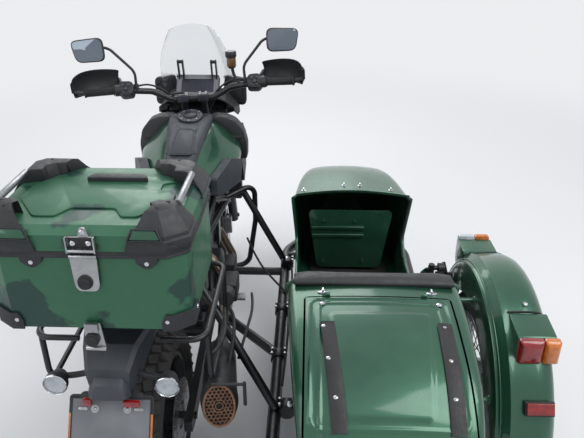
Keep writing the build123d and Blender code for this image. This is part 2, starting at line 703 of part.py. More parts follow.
with BuildPart() as bar_controls:
    for side in (1, -1):
        grip_out = Vector(side * bar_reach, bar_grip_y, bar_height)
        grip_in = Vector(side * 310, 1062, bar_height - 4)
        run = (grip_in - grip_out).normalized()
        cylinder(tuple(grip_out - run * 3), tuple(grip_out + run * 122), grip_tube / 2)
        cylinder(tuple(grip_out + run * 122), tuple(grip_out + run * 170), 23)
        slab(Plane(origin=tuple(grip_out + run * 150 - Vector(0, 0, 16)), x_dir=tuple(run), z_dir=(0, 0, 1)),
             [(-20, -side * 56), (24, -side * 56), (24, side * 24), (-20, side * 24)], 32, corner=8)
        lever_root = grip_out + run * 150 + Vector(0, 48, -2)
        lever_tip = grip_out + run * 8 + Vector(0, 62, -6)
        tube([tuple(lever_root), tuple(grip_out + run * 90 + Vector(0, 74, -4)), tuple(lever_tip)], 11, bend=40)
    add(handlebar.part, mode=Mode.SUBTRACT)

mirror_center = (416.0, 1058.0, 1416.0)
with BuildPart() as mirrors:
    for side in (1, -1):
        head_plane = Plane(origin=(side * mirror_center[0], mirror_center[1], mirror_center[2]), x_dir=(1, 0.1 * side, 0),
                           z_dir=(0.1 * side, -0.98, 0.12))
        slab(head_plane, [(-62, -38), (62, -34), (70, 30), (-58, 38)], 10, corner=18)
        extrude_back = head_plane.offset(-12)
        slab(extrude_back, [(-50, -28), (50, -25), (58, 22), (-46, 28)], 12, corner=14)
        tube([(side * 252, 1084, 1222), (side * 262, 1098, 1330), (side * 350, 1068, 1398), (side * 374, 1060, 1402)],
             12, bend=34)
    add(handlebar.part, mode=Mode.SUBTRACT)

with BuildPart() as handguards:
    for side in (1, -1):
        shell = [
            # x, y, half height
            (505, 1000, 44),
            (470, 1118, 52),
            (330, 1160, 40),
        ]
        for (x0, y0, h0), (x1, y1, h1) in zip(shell, shell[1:]):
            with BuildSketch(Plane(origin=(side * x0, y0, bar_height + 30), x_dir=(side * (y1 - y0), x0 - x1, 0), z_dir=(side * (x1 - x0), y1 - y0, 0))) as first:
                RectangleRounded(5, h0 * 2, 2)
            with BuildSketch(Plane(origin=(side * x1, y1, bar_height + 30), x_dir=(side * (y1 - y0), x0 - x1, 0), z_dir=(side * (x1 - x0), y1 - y0, 0))) as second:
                RectangleRounded(5, h1 * 2, 2)
            loft([first.sketch, second.sketch], ruled=True)
        cylinder((side * (bar_reach - 2), bar_grip_y, bar_height), (side * 503, 1018, bar_height + 8), 10)
    add(handlebar.part, mode=Mode.SUBTRACT)
    add(bar_controls.part, mode=Mode.SUBTRACT)

# Front mudguard over the wheel, held by the fork legs
with BuildPart() as front_mudguard:
    guard_radius = front_tyre_radius + 14
    with BuildSketch(Plane(origin=front_axle, x_dir=(1, 0, 0), z_dir=(0, -1, 0))) as guard:
        with BuildLine():
            ThreePointArc((-72, guard_radius - 34), (0, guard_radius + 4), (72, guard_radius - 34))
            Line((72, guard_radius - 34), (69, guard_radius - 36))
            ThreePointArc((69, guard_radius - 36), (0, guard_radius), (-69, guard_radius - 36))
            Line((-69, guard_radius - 36), (-72, guard_radius - 34))
        make_face()
    revolve(guard.sketch.rotate(Axis(front_axle, (1, 0, 0)), 50), axis=Axis(front_axle, (-1, 0, 0)), revolution_arc=115)
    for side in (1, -1):
        cylinder((side * 67, 1452, 600), (side * 84, 1452, 600), 12)
    add(fork.part, mode=Mode.SUBTRACT)

with BuildPart() as front_calipers:
    for side in (1, -1):
        slab(Plane.YZ.offset(side * 48), [(1400, 300), (1470, 286), (1486, 372), (1412, 392)], side * 48, corner=8)
        cylinder((side * 60, *front_axle[1:]), (side * 72, *front_axle[1:]), front_disc_radius + moving_gap, mode=Mode.SUBTRACT)
        slab(Plane.YZ.offset(side * 80), [(1470, 300), (1574, 318), (1574, 356), (1470, 362)], side * 14, corner=6)
    add(fork.part, mode=Mode.SUBTRACT)

# Road wheels
with BuildPart() as front_tyre:
    tyre(front_axle, front_tyre_radius, front_tyre_width, front_seat_radius, 26)
with BuildPart() as rear_tyre:
    tyre(rear_axle, rear_tyre_radius, rear_tyre_width, rear_seat_radius, 38)
with BuildPart() as sidecar_tyre:
    tyre(sidecar_axle, sidecar_tyre_radius, sidecar_tyre_width, sidecar_seat_radius, 22)


def cast_wheel(axle, seat, width, hub_half, hub_radius, bore):
    """A cast wheel with five pairs of spokes between its hub and its rim."""
    rim(axle, seat, width, 18)
    middle = Plane(origin=axle, x_dir=(0, 1, 0), z_dir=(1, 0, 0))
    with BuildSketch(middle) as spokes:
        for turn in range(5):
            for side in (-1, 1):
                angle = 72 * turn
                foot, top = hub_radius - 6, seat - 14
                lean = side * 13
                inner = [(foot * cos(radians(angle + side * 14 + d)), foot * sin(radians(angle + side * 14 + d))) for d in (-9, 9)]
                outer = [(top * cos(radians(angle + lean + d)), top * sin(radians(angle + lean + d))) for d in (3.6, -3.6)]
                with BuildLine():
                    Polyline(*inner, *outer, close=True)
                make_face()
    extrude(spokes.sketch, amount=14, both=True)
    with BuildSketch(middle) as hub:
        Circle(hub_radius)
    extrude(hub.sketch, amount=hub_half, both=True)
    with BuildSketch(middle) as hole:
        Circle(bore)
    extrude(hole.sketch, amount=hub_half + 5, both=True, mode=Mode.SUBTRACT)


with BuildPart() as front_rim:
    cast_wheel(front_axle, front_seat_radius, front_tyre_width, front_disc_half - disc_thickness / 2, 44, axle_radius + hub_clearance)
with BuildPart() as rear_rim:
    cast_wheel(rear_axle, rear_seat_radius, rear_tyre_width, 88, 52, axle_radius + 2 + hub_clearance)
with BuildPart() as front_discs:
    for side in (1, -1):
        disc(front_axle, side * front_disc_half, front_disc_radius, 43, disc_thickness)
with BuildPart() as rear_disc:
    disc(rear_axle, 88 + disc_thickness / 2, rear_disc_radius, 50, disc_thickness)

# Chain and sprockets on the left
chain_x = -106.0
sprocket_rear = 108.0
sprocket_front = 42.0
with BuildPart() as rear_sprocket:
    with BuildSketch(Plane(origin=(-88, *rear_axle[1:]), x_dir=(0, 1, 0), z_dir=(-1, 0, 0))) as carrier_ring:
        Circle(50)
        Circle(axle_radius + 2 + hub_clearance, mode=Mode.SUBTRACT)
    extrude(carrier_ring.sketch, amount=14)
    with BuildSketch(Plane(origin=(-102, *rear_axle[1:]), x_dir=(0, 1, 0), z_dir=(-1, 0, 0))) as sprocket:
        Circle(sprocket_rear - 10)
        Circle(axle_radius + 2 + hub_clearance, mode=Mode.SUBTRACT)
    extrude(sprocket.sketch, amount=8)
chain_start = (705.0, 400.0)
chain_run = hypot(chain_start[0], chain_start[1] - rear_axle[2])
with BuildPart() as chain:
    chain_angle = degrees(atan2(chain_start[1] - rear_axle[2], chain_start[0]))
    chain_plane = Plane(origin=(chain_x - 7, 0, rear_axle[2]), x_dir=(0, cos(radians(chain_angle)), sin(radians(chain_angle))),
                        z_dir=(1, 0, 0))
    with BuildSketch(chain_plane) as band:
        for grow, mode in ((7, Mode.ADD), (-7, Mode.SUBTRACT)):
            big, small = sprocket_rear + grow, sprocket_front + grow
            lean = (big - small) / chain_run
            up = sqrt(1 - lean * lean)
            with BuildLine():
                Line((big * lean, big * up), (chain_run + small * lean, small * up))
                ThreePointArc((chain_run + small * lean, small * up), (chain_run + small, 0), (chain_run + small * lean, -small * up))
                Line((chain_run + small * lean, -small * up), (big * lean, -big * up))
                ThreePointArc((big * lean, -big * up), (-big, 0), (big * lean, big * up))
            make_face(mode=mode)
    extrude(band.sketch, amount=14)
    cylinder((chain_x - 5, *chain_start), (chain_x + 5, *chain_start), sprocket_front - 2)
    cylinder((chain_x + 5, *chain_start), (-94, *chain_start), 16)

# Sidecar chassis: two long tubes joined by cross tubes, with the shock's tower on the right
shock_top = (chassis_right + 38, sidecar_lead + 288, 640.0)
tower_head = 16.0
with BuildPart() as sidecar_chassis:
    tube([(chassis_left, -330, chassis_height), (chassis_left, 1180, chassis_height), (tub_x - 150, 1420, chassis_height),
          (tub_x + 150, 1420, chassis_height), (chassis_right, 1180, chassis_height), (chassis_right, -330, chassis_height)],
         chassis_tube, bend=150)
    for y in (-320, 60, 640, 1130):
        cylinder((chassis_left, y, chassis_height), (chassis_right, y, chassis_height), 20)
    cylinder((chassis_right, shock_top[1], chassis_height), (chassis_right, shock_top[1], shock_top[2] + tower_head), 12)
    cylinder((chassis_right - 12, *shock_top[1:]), (chassis_right + 50, *shock_top[1:]), 10)

# Struts between the motorcycle and the sidecar
bracket_lug = (224.0, 1068.0, 715.0)
strut_rows = [
    # motorcycle end, sidecar end, diameter
    (bracket_lug, (chassis_left + 8, 1010, chassis_height + 20), strut_tube),
    ((front_node[0] - 10, 1040, 700), bracket_lug, 30),
    ((case_half_x - 10, 975, chassis_height), (chassis_left, 975, chassis_height), 40),
    ((case_half_x - 20, 705, chassis_height + 4), (chassis_left, 330, chassis_height), 40),
    ((rail_x + 4, 335, 752), (chassis_left + 6, 10, chassis_height + 20), strut_tube),
]
with BuildPart() as struts:
    for start, end, diameter in strut_rows:
        cylinder(start, end, diameter / 2)
    add(sidecar_chassis.part, mode=Mode.SUBTRACT)
    add(engine.part, mode=Mode.SUBTRACT)
    add(frame.part, mode=Mode.SUBTRACT)

# Crash bars around the engine, from its front corners up to the frame
crash_tube = 25.4
with BuildPart() as crash_bars:
    tube([(70, 996, 306), (240, 1050, 330), (276, 1080, 560), (276, 1070, 760), (141, 975, 724)], crash_tube, bend=50)
    mirror(about=Plane.YZ)
    add(engine.part, mode=Mode.SUBTRACT)
    add(frame.part, mode=Mode.SUBTRACT)
    add(struts.part, mode=Mode.SUBTRACT)

# Sidecar tub: a boat-like shell with a hooded nose and a luggage bay
tub_rows = [
    # y, foot, top, half width at foot, half width at top, crown height, corner cut
    (1530, 440, 520, 84, 84, 8, 24),
    (1450, 385, 640, 146, 146, 12, 30),
    (1340, 366, 730, 186, 190, 18, 30),
    (hood_edge, 360, 786, 232, 266, 26, 16),
    (bulkhead_y, 365, 862, 238, 276, 10, 20),
    (-200, 378, 848, 232, 270, 10, 24),
    (-400, 415, 798, 220, 258, 10, 26),
    (-520, 465, 715, 208, 240, 8, 26),
    (-585, 520, 620, 190, 216, 6, 24),
]


def tub_middle(y):
    """The tub's own middle at one station; the tub points slightly towards the motorcycle."""
    return tub_x + tub_toe * (tub_toe_y - y)


def tub_outline(y, foot, top, half_foot, half_top, crown, corner, inset):
    """One cross section of the tub, drawn in by an inset."""
    with BuildSketch(across(y, tub_middle(y))) as face:
        with BuildLine():
            low, high = foot + inset, top - inset
            a, b = half_foot - inset, half_top - inset
            cut = corner - inset * 0.6
            rise = cut * (high - low) / hypot(high - low, b - a)
            Polyline((-a + cut, low), (a - cut, low), (a, low + cut), (b, high - rise), (b - cut, high),
                     (b * 0.5, high + crown * 0.7), (0, high + crown), (-b * 0.5, high + crown * 0.7),
                     (-b + cut, high), (-b, high - rise), (-a, low + cut), close=True)
        make_face()
    return face.sketch


with BuildPart() as hull:
    loft([tub_outline(*row, 0) for row in tub_rows], ruled=True)
with BuildPart() as hull_core:
    inner_rows = [(row[0] + (-tub_wall if i == 0 else tub_wall if i == len(tub_rows) - 1 else 0), *row[1:])
                  for i, row in enumerate(tub_rows)]
    loft([tub_outline(*row, tub_wall) for row in inner_rows], ruled=True)
    with Locations((tub_middle(bulkhead_y), bulkhead_y - 1.5, 600)):
        Box(700, 3, 900, mode=Mode.SUBTRACT)

lid_half = 228.0
lid_rear = -505.0
lid_x = tub_middle((lid_front + lid_rear) / 2)
pad_rows = [
    # y, distance from the tub's middle
    (-320, 170), (60, 190), (640, 190), (1130, 150),
]
seat_board = (458.0, 470.0)
with BuildPart() as tub_feet:
    for y, half in pad_rows:
        for side in (1, -1):
            slab(Plane.XY.offset(chassis_height + 2), [(tub_x + side * (half + 28), y - 16), (tub_x + side * (half + 28), y + 16),
                 (tub_x + side * (half - 28), y + 16), (tub_x + side * (half - 28), y - 16)], 90)
    add(sidecar_chassis.part, mode=Mode.SUBTRACT)
    add(hull.part, mode=Mode.SUBTRACT)
    slab(Plane.XY.offset(410), [(tub_x - 300, -500), (tub_x + 300, -500), (tub_x + 300, 1500), (tub_x - 300, 1500)], 300,
         mode=Mode.SUBTRACT)
with BuildPart() as seat_box:
    slab(Plane.XY.offset(seat_board[0]), [(tub_x - 300, bulkhead_y - 1), (tub_x + 300, bulkhead_y - 1), (tub_x + 300, 566), (tub_x - 300, 566)],
         seat_board[1] - seat_board[0])
    slab(Plane.XY.offset(340), [(tub_x - 300, 548), (tub_x + 300, 548), (tub_x + 300, 560), (tub_x - 300, 560)], seat_board[1] - 340)
    add(hull.part, mode=Mode.INTERSECT)
with BuildPart() as tub:
    add(hull.part)
    add(hull_core.part, mode=Mode.SUBTRACT)
    add(seat_box.part)
    add(tub_feet.part)
    for side in (1, -1):
        slab(Plane.YZ.offset(lid_x + side * lid_hinge_x - 22), [(lid_front + 1, 850), (lid_front + 16, 850), (lid_front + 10, 878), (lid_front - 2, 878)], 12)
        cylinder((lid_x + side * lid_hinge_x - 16, *lid_hinge[1:]), (lid_x + side * lid_hinge_x + 12, *lid_hinge[1:]), 3)
    with BuildSketch(Plane.YZ.offset(tub_x - 400)) as side_cut:
        with BuildLine():
            Polyline((bulkhead_y + 5, 1000), (bulkhead_y + 5, 820), (220, 640), (430, sill_height), (800, sill_height), (905, 560),
                     (hood_edge, 790), (hood_edge, 1000), close=True)
        make_face()
        fillet(side_cut.vertices().sort_by(Axis.Z)[:5], 30)
    extrude(side_cut.sketch, amount=800, mode=Mode.SUBTRACT)
    with BuildSketch(Plane(origin=(lid_x, 0, 1000), x_dir=(1, 0, 0), z_dir=(0, 0, -1))) as bay:
        with Locations((0, -(lid_front + lid_rear) / 2)):
            RectangleRounded(lid_half * 2, lid_front - lid_rear, 18)
    extrude(bay.sketch, amount=400, mode=Mode.SUBTRACT)

with BuildPart() as tub_lid:
    with BuildSketch(Plane(origin=(lid_x, 0, 1000), x_dir=(1, 0, 0), z_dir=(0, 0, -1))) as lid_area:
        with Locations((0, -(lid_front + lid_rear) / 2)):
            RectangleRounded(lid_half * 2 - 2 * moving_gap, lid_front - lid_rear - 2 * moving_gap, 16)
    extrude(lid_area.sketch, amount=400)
    add(hull.part, mode=Mode.INTERSECT)
    add(hull_core.part, mode=Mode.SUBTRACT)
    slab(Plane.YZ.offset(tub_x), [(0, 300), (0, 812), (-200, 800), (-400, 748), (-520, 660), (-700, 560), (-700, 300)], 400, both=True,
         mode=Mode.SUBTRACT)
    for side in (1, -1):
        slab(Plane.YZ.offset(lid_x + side * lid_hinge_x - 9.7), [(lid_front - 8, 866), (lid_front - 14, 848), (lid_front - 44, 848), (lid_front - 44, 860),
             (lid_front - 10, 878), (lid_front + 8, 878), (lid_front + 8, 866)], 18)
        cylinder((lid_x + side * lid_hinge_x - 12, *lid_hinge[1:]), (lid_x + side * lid_hinge_x + 12, *lid_hinge[1:]), 3.3, mode=Mode.SUBTRACT)

# Seat and seat back
seat_x = tub_middle(300)
with BuildPart() as tub_seat:
    slab(Plane.XY.offset(seat_board[1]), [(seat_x - 215, 110), (seat_x + 215, 110), (seat_x + 215, 560), (seat_x - 215, 560)], 90, corner=30)
with BuildPart() as tub_seat_back:
    slab(Plane.YZ.offset(seat_x - 226), [(bulkhead_y, 562), (bulkhead_y + 86, 562), (bulkhead_y + 58, 872), (bulkhead_y, 872)],
         452, corner=16)
    add(tub.part, mode=Mode.SUBTRACT)
    add(tub_seat.part, mode=Mode.SUBTRACT)

# Sidecar mudguard: a deep ring section with two lamp housings
guard_wall = 3.0
guard_outer = sidecar_tyre_radius + 146
guard_sweep = 158.0
guard_front = 32.0
guard_section = [
    # across from the wheel's middle, below the crown: outer face, then inner face
    (-66, 146), (-66, 44), (-22, 6), (80, 0), (126, 36), (135, 76), (135, 226),
    (132, 226), (132, 77), (123.5, 38), (79, 3), (-21, 9), (-63, 45.5), (-63, 146),
]
stay_x = chassis_right + 8
stay_rows = [
    # y, height
    (585, 545), (195, 700), (-110, 520),
]
nacelle_rows = [
    # left x, right x, outline seen from the side
    (1150, 1285, [(470, 690), (480, 735), (600, 733), (600, 620), (560, 600)]),
    (1196, 1322, [(40, 740), (30, 766), (-84, 752), (-84, 680), (-40, 680)]),
]
with BuildPart() as nacelles:
    for left, right, outline in nacelle_rows:
        slab(Plane.YZ.offset(left), outline, right - left, corner=6)
    cylinder((sidecar_track - 100, *sidecar_axle[1:]), (sidecar_track + 160, *sidecar_axle[1:]), guard_outer - guard_wall,
             mode=Mode.SUBTRACT)
guard_sweep = 158.0
with BuildPart() as sidecar_mudguard:
    mud_plane = Plane(origin=sidecar_axle, x_dir=(1, 0, 0), z_dir=(0, -1, 0))
    with BuildSketch(mud_plane) as section:
        with BuildLine():
            Polyline(*[(x, guard_outer - below) for x, below in guard_section], close=True)
        make_face()
    revolve(section.sketch.rotate(Axis(sidecar_axle, (1, 0, 0)), guard_front - 90), axis=Axis(sidecar_axle, (1, 0, 0)),
            revolution_arc=guard_sweep)
    add(nacelles.part)
    for y, z in stay_rows:
        tube([(stay_x, y, chassis_height), (stay_x, y, z), (sidecar_track + guard_section[0][0] + 2, y, z)], 18, bend=30)
    add(sidecar_chassis.part, mode=Mode.SUBTRACT)

# Lamps on the mudguard
lamp_rows = [
    # left x, right x, low, high, y of its back, depth forward
    (1160, 1275, 645, 735, 600, 40),
    (1200, 1322, 664, 752, -84, -28),
]
with BuildPart() as sidecar_lamps:
    for left, right, low, high, back, depth in lamp_rows:
        slab(Plane.XZ.offset(-back), [(left, low), (right, low), (right, high), (left, high)], -depth, corner=8)
    cylinder((sidecar_track - 100, *sidecar_axle[1:]), (sidecar_track + 160, *sidecar_axle[1:]), guard_outer, mode=Mode.SUBTRACT)
    add(sidecar_mudguard.part, mode=Mode.SUBTRACT)

# Trailing arm with the stub axle, and its shock
with BuildPart() as sidecar_arm:
    slab(Plane.YZ.offset(sidecar_track - 118), [(sidecar_lead - 34, 300), (sidecar_lead - 34, 360), (sidecar_lead + 400, 372), (sidecar_lead + 400, 316)],
         34, corner=14)
    cylinder((sidecar_track - 100, *sidecar_axle[1:]), (sidecar_track + 62, *sidecar_axle[1:]), 12)
    cylinder((chassis_right + chassis_tube / 2, sidecar_lead + 372, 344), (sidecar_track - 90, sidecar_lead + 372, 344), 16)
    add(sidecar_chassis.part, mode=Mode.SUBTRACT)
with BuildPart() as sidecar_shock:
    cylinder((sidecar_track - 111, sidecar_lead + 120, 352), (shock_top[0], shock_top[1] - 4, 626), 23)
    cylinder((shock_top[0] - 12, *shock_top[1:]), (shock_top[0] + 12, *shock_top[1:]), 20)
    add(sidecar_arm.part, mode=Mode.SUBTRACT)
    add(sidecar_chassis.part, mode=Mode.SUBTRACT)

# Wire-spoked sidecar wheel
with BuildPart() as sidecar_rim:
    rim(sidecar_axle, sidecar_seat_radius, sidecar_tyre_width, 16)
    hub_plane = Plane(origin=sidecar_axle, x_dir=(0, 1, 0), z_dir=(1, 0, 0))
    with BuildSketch(hub_plane) as drum:
        Circle(70)
        Circle(12 + hub_clearance, mode=Mode.SUBTRACT)
    extrude(drum.sketch, amount=44, both=True)
    for turn in range(36):
        side = 1 if turn % 2 else -1
        lean = 14 if turn % 4 < 2 else -14
        a0 = radians(10 * turn + lean * 1.6)
        a1 = radians(10 * turn)
        start = (sidecar_axle[0] + side * 38, sidecar_axle[1] + 66 * cos(a0), sidecar_axle[2] + 66 * sin(a0))
        end = (sidecar_axle[0] + side * 6, sidecar_axle[1] + 228 * cos(a1), sidecar_axle[2] + 228 * sin(a1))
        cylinder(start, end, 2.0)

# Splash plate ahead of the sidecar wheel, on the chassis tube
with BuildPart() as splash_plate:
    slab(Plane.XZ.offset(-560), [(1004, 335), (1072, 335), (1064, 590), (1036, 622), (1006, 590)], 4, corner=18)
    add(sidecar_chassis.part, mode=Mode.SUBTRACT)

# Names of the finished pieces; the steered ones turn with the handlebar to its parked angle
fixed_pieces = {
    "frame": frame, "engine": engine, "cylinders": cylinders, "radiator": radiator, "exhaust": exhaust,
    "silencer": silencer, "tank": tank, "shrouds": shrouds, "splash_plate": splash_plate, "console": console, "knee_panels": knee_panels, "seat": seat,
    "tail_fairing": tail_fairing, "rear_mudguard": rear_mudguard, "number_plate": number_plate,
    "rear_lamps": rear_lamps, "swingarm": swingarm, "shock": shock, "pannier_racks": pannier_racks,
    "crash_bars": crash_bars, "skid_plate": skid_plate, "footpegs": footpegs, "nose_fairing": nose_fairing,
    "headlamp": headlamp, "windscreen": windscreen, "display": display, "carrier": carrier,
    "case_body": case_body, "case_band": case_band, "case_latches": case_latches, "chain": chain,
    "sidecar_chassis": sidecar_chassis, "struts": struts, "tub": tub,
    "tub_seat": tub_seat, "tub_seat_back": tub_seat_back, "sidecar_mudguard": sidecar_mudguard,
    "sidecar_lamps": sidecar_lamps, "sidecar_arm": sidecar_arm, "sidecar_shock": sidecar_shock,
}
moving_pieces = {
    "case_lid": case_lid, "lid_guards": lid_guards, "rear_tyre": rear_tyre,
    "rear_rim": rear_rim, "rear_disc": rear_disc, "rear_sprocket": rear_sprocket, "tub_lid": tub_lid,
    "sidecar_tyre": sidecar_tyre, "sidecar_rim": sidecar_rim,
}
steered_pieces = {
    "fork": fork, "handlebar": handlebar, "bar_controls": bar_controls, "mirrors": mirrors,
    "handguards": handguards, "front_mudguard": front_mudguard, "front_calipers": front_calipers,
    "front_tyre": front_tyre, "front_rim": front_rim, "front_discs": front_discs,
}

steer_axis = Axis(tuple(steer_foot), tuple(steer_dir))
solids = {name: piece.part for name, piece in {**fixed_pieces, **moving_pieces}.items()}
solids.update({name: piece.part.rotate(steer_axis, steer_rest) for name, piece in steered_pieces.items()})

# The part's own origin is on the ground, below the middle of the whole outfit
boxes = [solid.bounding_box() for solid in solids.values()]
shift = Vector(
    -(min(b.min.X for b in boxes) + max(b.max.X for b in boxes)) / 2,
    -(min(b.min.Y for b in boxes) + max(b.max.Y for b in boxes)) / 2,
    -min(b.min.Z for b in boxes),
)
for name, solid in solids.items():
    placed = solid.moved(Location(shift))
    placed.label = name
    export_step(placed, f"parts/{name}.step")
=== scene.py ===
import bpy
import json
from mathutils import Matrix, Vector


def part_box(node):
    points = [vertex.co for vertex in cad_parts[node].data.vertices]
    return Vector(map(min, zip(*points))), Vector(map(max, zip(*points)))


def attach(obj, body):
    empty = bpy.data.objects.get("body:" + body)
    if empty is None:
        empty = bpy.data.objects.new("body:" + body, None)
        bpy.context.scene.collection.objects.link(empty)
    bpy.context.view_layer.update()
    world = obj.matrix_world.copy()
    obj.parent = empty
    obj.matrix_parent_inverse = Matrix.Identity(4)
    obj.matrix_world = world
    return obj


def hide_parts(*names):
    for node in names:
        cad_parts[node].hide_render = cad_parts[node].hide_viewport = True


bl_info = {
    "name": "Sidecar Motorcycle Dressing",
    "version": (1, 0, 0),
    "blender": (4, 5, 0),
    "location": "View3D > Sidebar > Outfit",
    "description": "Dresses the packed sidecar motorcycle with detailed pieces, finishes, light and a camera",
    "category": "Object",
}

import json
from math import cos, hypot, pi, radians, sin

import bpy
from mathutils import Matrix, Vector

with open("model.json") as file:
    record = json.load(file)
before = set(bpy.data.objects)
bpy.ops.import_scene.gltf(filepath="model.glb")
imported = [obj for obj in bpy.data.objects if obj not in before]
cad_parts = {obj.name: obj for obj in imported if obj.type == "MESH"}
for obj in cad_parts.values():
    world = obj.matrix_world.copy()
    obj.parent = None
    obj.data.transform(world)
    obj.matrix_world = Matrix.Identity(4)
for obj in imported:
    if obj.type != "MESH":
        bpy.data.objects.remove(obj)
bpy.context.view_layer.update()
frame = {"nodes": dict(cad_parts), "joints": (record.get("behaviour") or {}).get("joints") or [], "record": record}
tyre_low, tyre_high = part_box("rear_tyre")
row_x = (tyre_low[0] + tyre_high[0]) / 2
row_y = (tyre_low[1] + tyre_high[1]) / 2

X, Y, Z, BACK = (1, 0, 0), (0, 1, 0), (0, 0, 1), (0, -1, 0)
TUB_X, TUB_TOE, TUB_TOE_Y = 735.0, 0.0203, 727.0
TUB_ROWS = (
    # y, foot, top, half width at foot, half width at top, crown, corner
    (1530, 440, 520, 84, 84, 8, 26),
    (1450, 385, 640, 146, 146, 12, 34),
    (1340, 366, 730, 186, 190, 18, 38),
    (872, 360, 786, 232, 266, 26, 30),
    (42, 365, 862, 238, 276, 10, 24),
    (-200, 378, 848, 232, 270, 10, 28),
    (-400, 415, 798, 220, 258, 10, 34),
    (-520, 465, 715, 208, 240, 8, 40),
    (-585, 520, 620, 190, 216, 6, 34),
)
TUB_STATIONS = (
    1530, 1520, 1500, 1475, 1450, 1420, 1385, 1340, 1290, 1240, 1180, 1110, 1040, 960, 872, 780, 640, 480,
    330, 180, 42, -60, -140, -200, -260, -320, -370, -410, -450, -485, -520, -545, -565, -585,
)
THIRD_CORNER = 21  # how many points of a section come before its fourth corner
LID_FRONT, LID_REAR, LID_HALF = -48.0, -499.0, 222.0
SIDE_CUT = ((47, 1000), (47, 820), (220, 640), (430, 490), (800, 490), (905, 560), (872, 790), (872, 1000))
WHEEL = (1195.0, 225.0, 330.0)
GUARD_RADIUS, GUARD_FRONT, GUARD_SWEEP = 476.0, 32.0, 158.0
FRONT_AXLE = (0.0, 1580.0, 325.0)
REAR_AXLE = (0.0, 0.0, 318.0)
CASE = dict(half=248.0, rear=-400.0, front=-18.0, floor=1000.0, rim=1208.0, top=1286.0)
BAR = dict(reach=456.0, y=1030.0, z=1236.0, inner=310.0, inner_y=1062.0, inner_z=1232.0)
PARKED_TURN = 6.0
MERGE_DISTANCE = 0.00005
BEND_STEPS, TUBE_STEPS = 6, 6
ROW_STEPS = 12
PAD_PRESSURE, PAD_VOXEL, PAD_FRAMES = 4.0, 0.006, 15
BACKDROP = (0.84, 0.85, 0.87, 1)
SKY, SKY_STRENGTH = (0.86, 0.9, 1.0, 1), 0.62
FADE_START, FADE_END = 1.6, 6.5
LAMPS = (
    # name, place, power, size
    ("key", (2.6, -1.6, 4.4), 150, 3.2),
    ("fill", (-3.4, -2.4, 3.2), 60, 3.6),
    ("back", (-0.8, 4.2, 3.8), 110, 3.4),
)
LAMP_TARGET = (0, 0, 0.6)
CAMERA_PLACE, CAMERA_TILT, CAMERA_TURN = (538.4, -1664.0, 1957.8), 0.469352, 0.029698


def at(x, y, z):
    """A place in the motorcycle's own millimetres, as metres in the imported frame."""
    return Vector((x / 1000 + row_x, y / 1000 + row_y, z / 1000))


def mm(*values):
    return Vector(values) / 1000


def paint(red, green, blue):
    """A screen colour from 0 to 255 as the linear colour that a shader takes."""
    shares = [value / 255 for value in (red, green, blue)]
    return tuple(share / 12.92 if share <= 0.04045 else ((share + 0.055) / 1.055) ** 2.4 for share in shares)


# Modelling helpers


def calm():
    if bpy.context.mode != "OBJECT":
        bpy.ops.object.mode_set(mode="OBJECT")
    bpy.ops.object.select_all(action="DESELECT")


def pick(*pieces):
    calm()
    for piece in pieces:
        piece.select_set(True)
    bpy.context.view_layer.objects.active = pieces[0]
    return pieces[0]


def settle(piece):
    pick(piece)
    bpy.ops.object.transform_apply(location=True, rotation=True, scale=True)
    return piece


def modify(piece, kind, **values):
    """Adds one modifier and applies it."""
    pick(piece)
    modifier = piece.modifiers.new(kind.title(), kind)
    for name, value in values.items():
        setattr(modifier, name, value)
    bpy.ops.object.modifier_apply(modifier=modifier.name)
    return piece


def soften(piece, width, segments=2, limit=35):
    """Rounds the edges sharper than the limit; the width is in millimetres."""
    return modify(piece, "BEVEL", width=width / 1000, segments=segments, limit_method="ANGLE",
                  angle_limit=radians(limit))


def edit(piece, *steps):
    """Selects the whole mesh in edit mode and runs the steps there."""
    pick(piece)
    bpy.ops.object.mode_set(mode="EDIT")
    bpy.ops.mesh.select_all(action="SELECT")
    for step in steps:
        step()
    bpy.ops.object.mode_set(mode="OBJECT")
    return piece


def outward():
    bpy.ops.mesh.select_all(action="SELECT")
    bpy.ops.mesh.normals_make_consistent(inside=False)


def merge():
    bpy.ops.mesh.remove_doubles(threshold=MERGE_DISTANCE)


def block(low, high, round_edge=2.0, segments=2):
    """A box between two corners in millimetres, with rounded edges."""
    calm()
    middle = at(*[(a + b) / 2 for a, b in zip(low, high)])
    bpy.ops.mesh.primitive_cube_add(size=1, location=middle)
    piece = bpy.context.object
    piece.scale = [abs(b - a) / 1000 for a, b in zip(low, high)]
    settle(piece)
    return soften(piece, round_edge, segments)


def rod(start, end, radius, vertices=24, round_edge=0.0):
    """A round bar between two places in metres."""
    calm()
    along = end - start
    turn = along.to_track_quat("Z", "Y").to_euler()
    middle = (start + end) / 2
    bpy.ops.mesh.primitive_cylinder_add(vertices=vertices, radius=radius / 1000, depth=along.length,
                                        location=middle, rotation=turn)
    piece = settle(bpy.context.object)
    if round_edge:
        soften(piece, round_edge, 2)
    return piece


def four(foot, top, low, high):
    """An outline of four corners, from half its width at the foot and at the top and from its two heights."""
    return [(-foot, low), (foot, low), (top, high), (-top, high)]


def rounded(outline, radius, steps=4):
    """The outline with each corner replaced by a short curve."""
    points = [Vector(p).to_3d() for p in outline]
    result = []
    for i, corner in enumerate(points):
        before, after = points[i - 1], points[(i + 1) % len(points)]
        back, ahead = before - corner, after - corner
        reach_back = min(radius, back.length * 0.48)
        reach_ahead = min(radius, ahead.length * 0.48)
        first = corner + back.normalized() * reach_back
        last = corner + ahead.normalized() * reach_ahead
        for step in range(steps + 1):
            t = step / steps
            result.append(first * (1 - t) ** 2 + corner * 2 * t * (1 - t) + last * t * t)
    return result


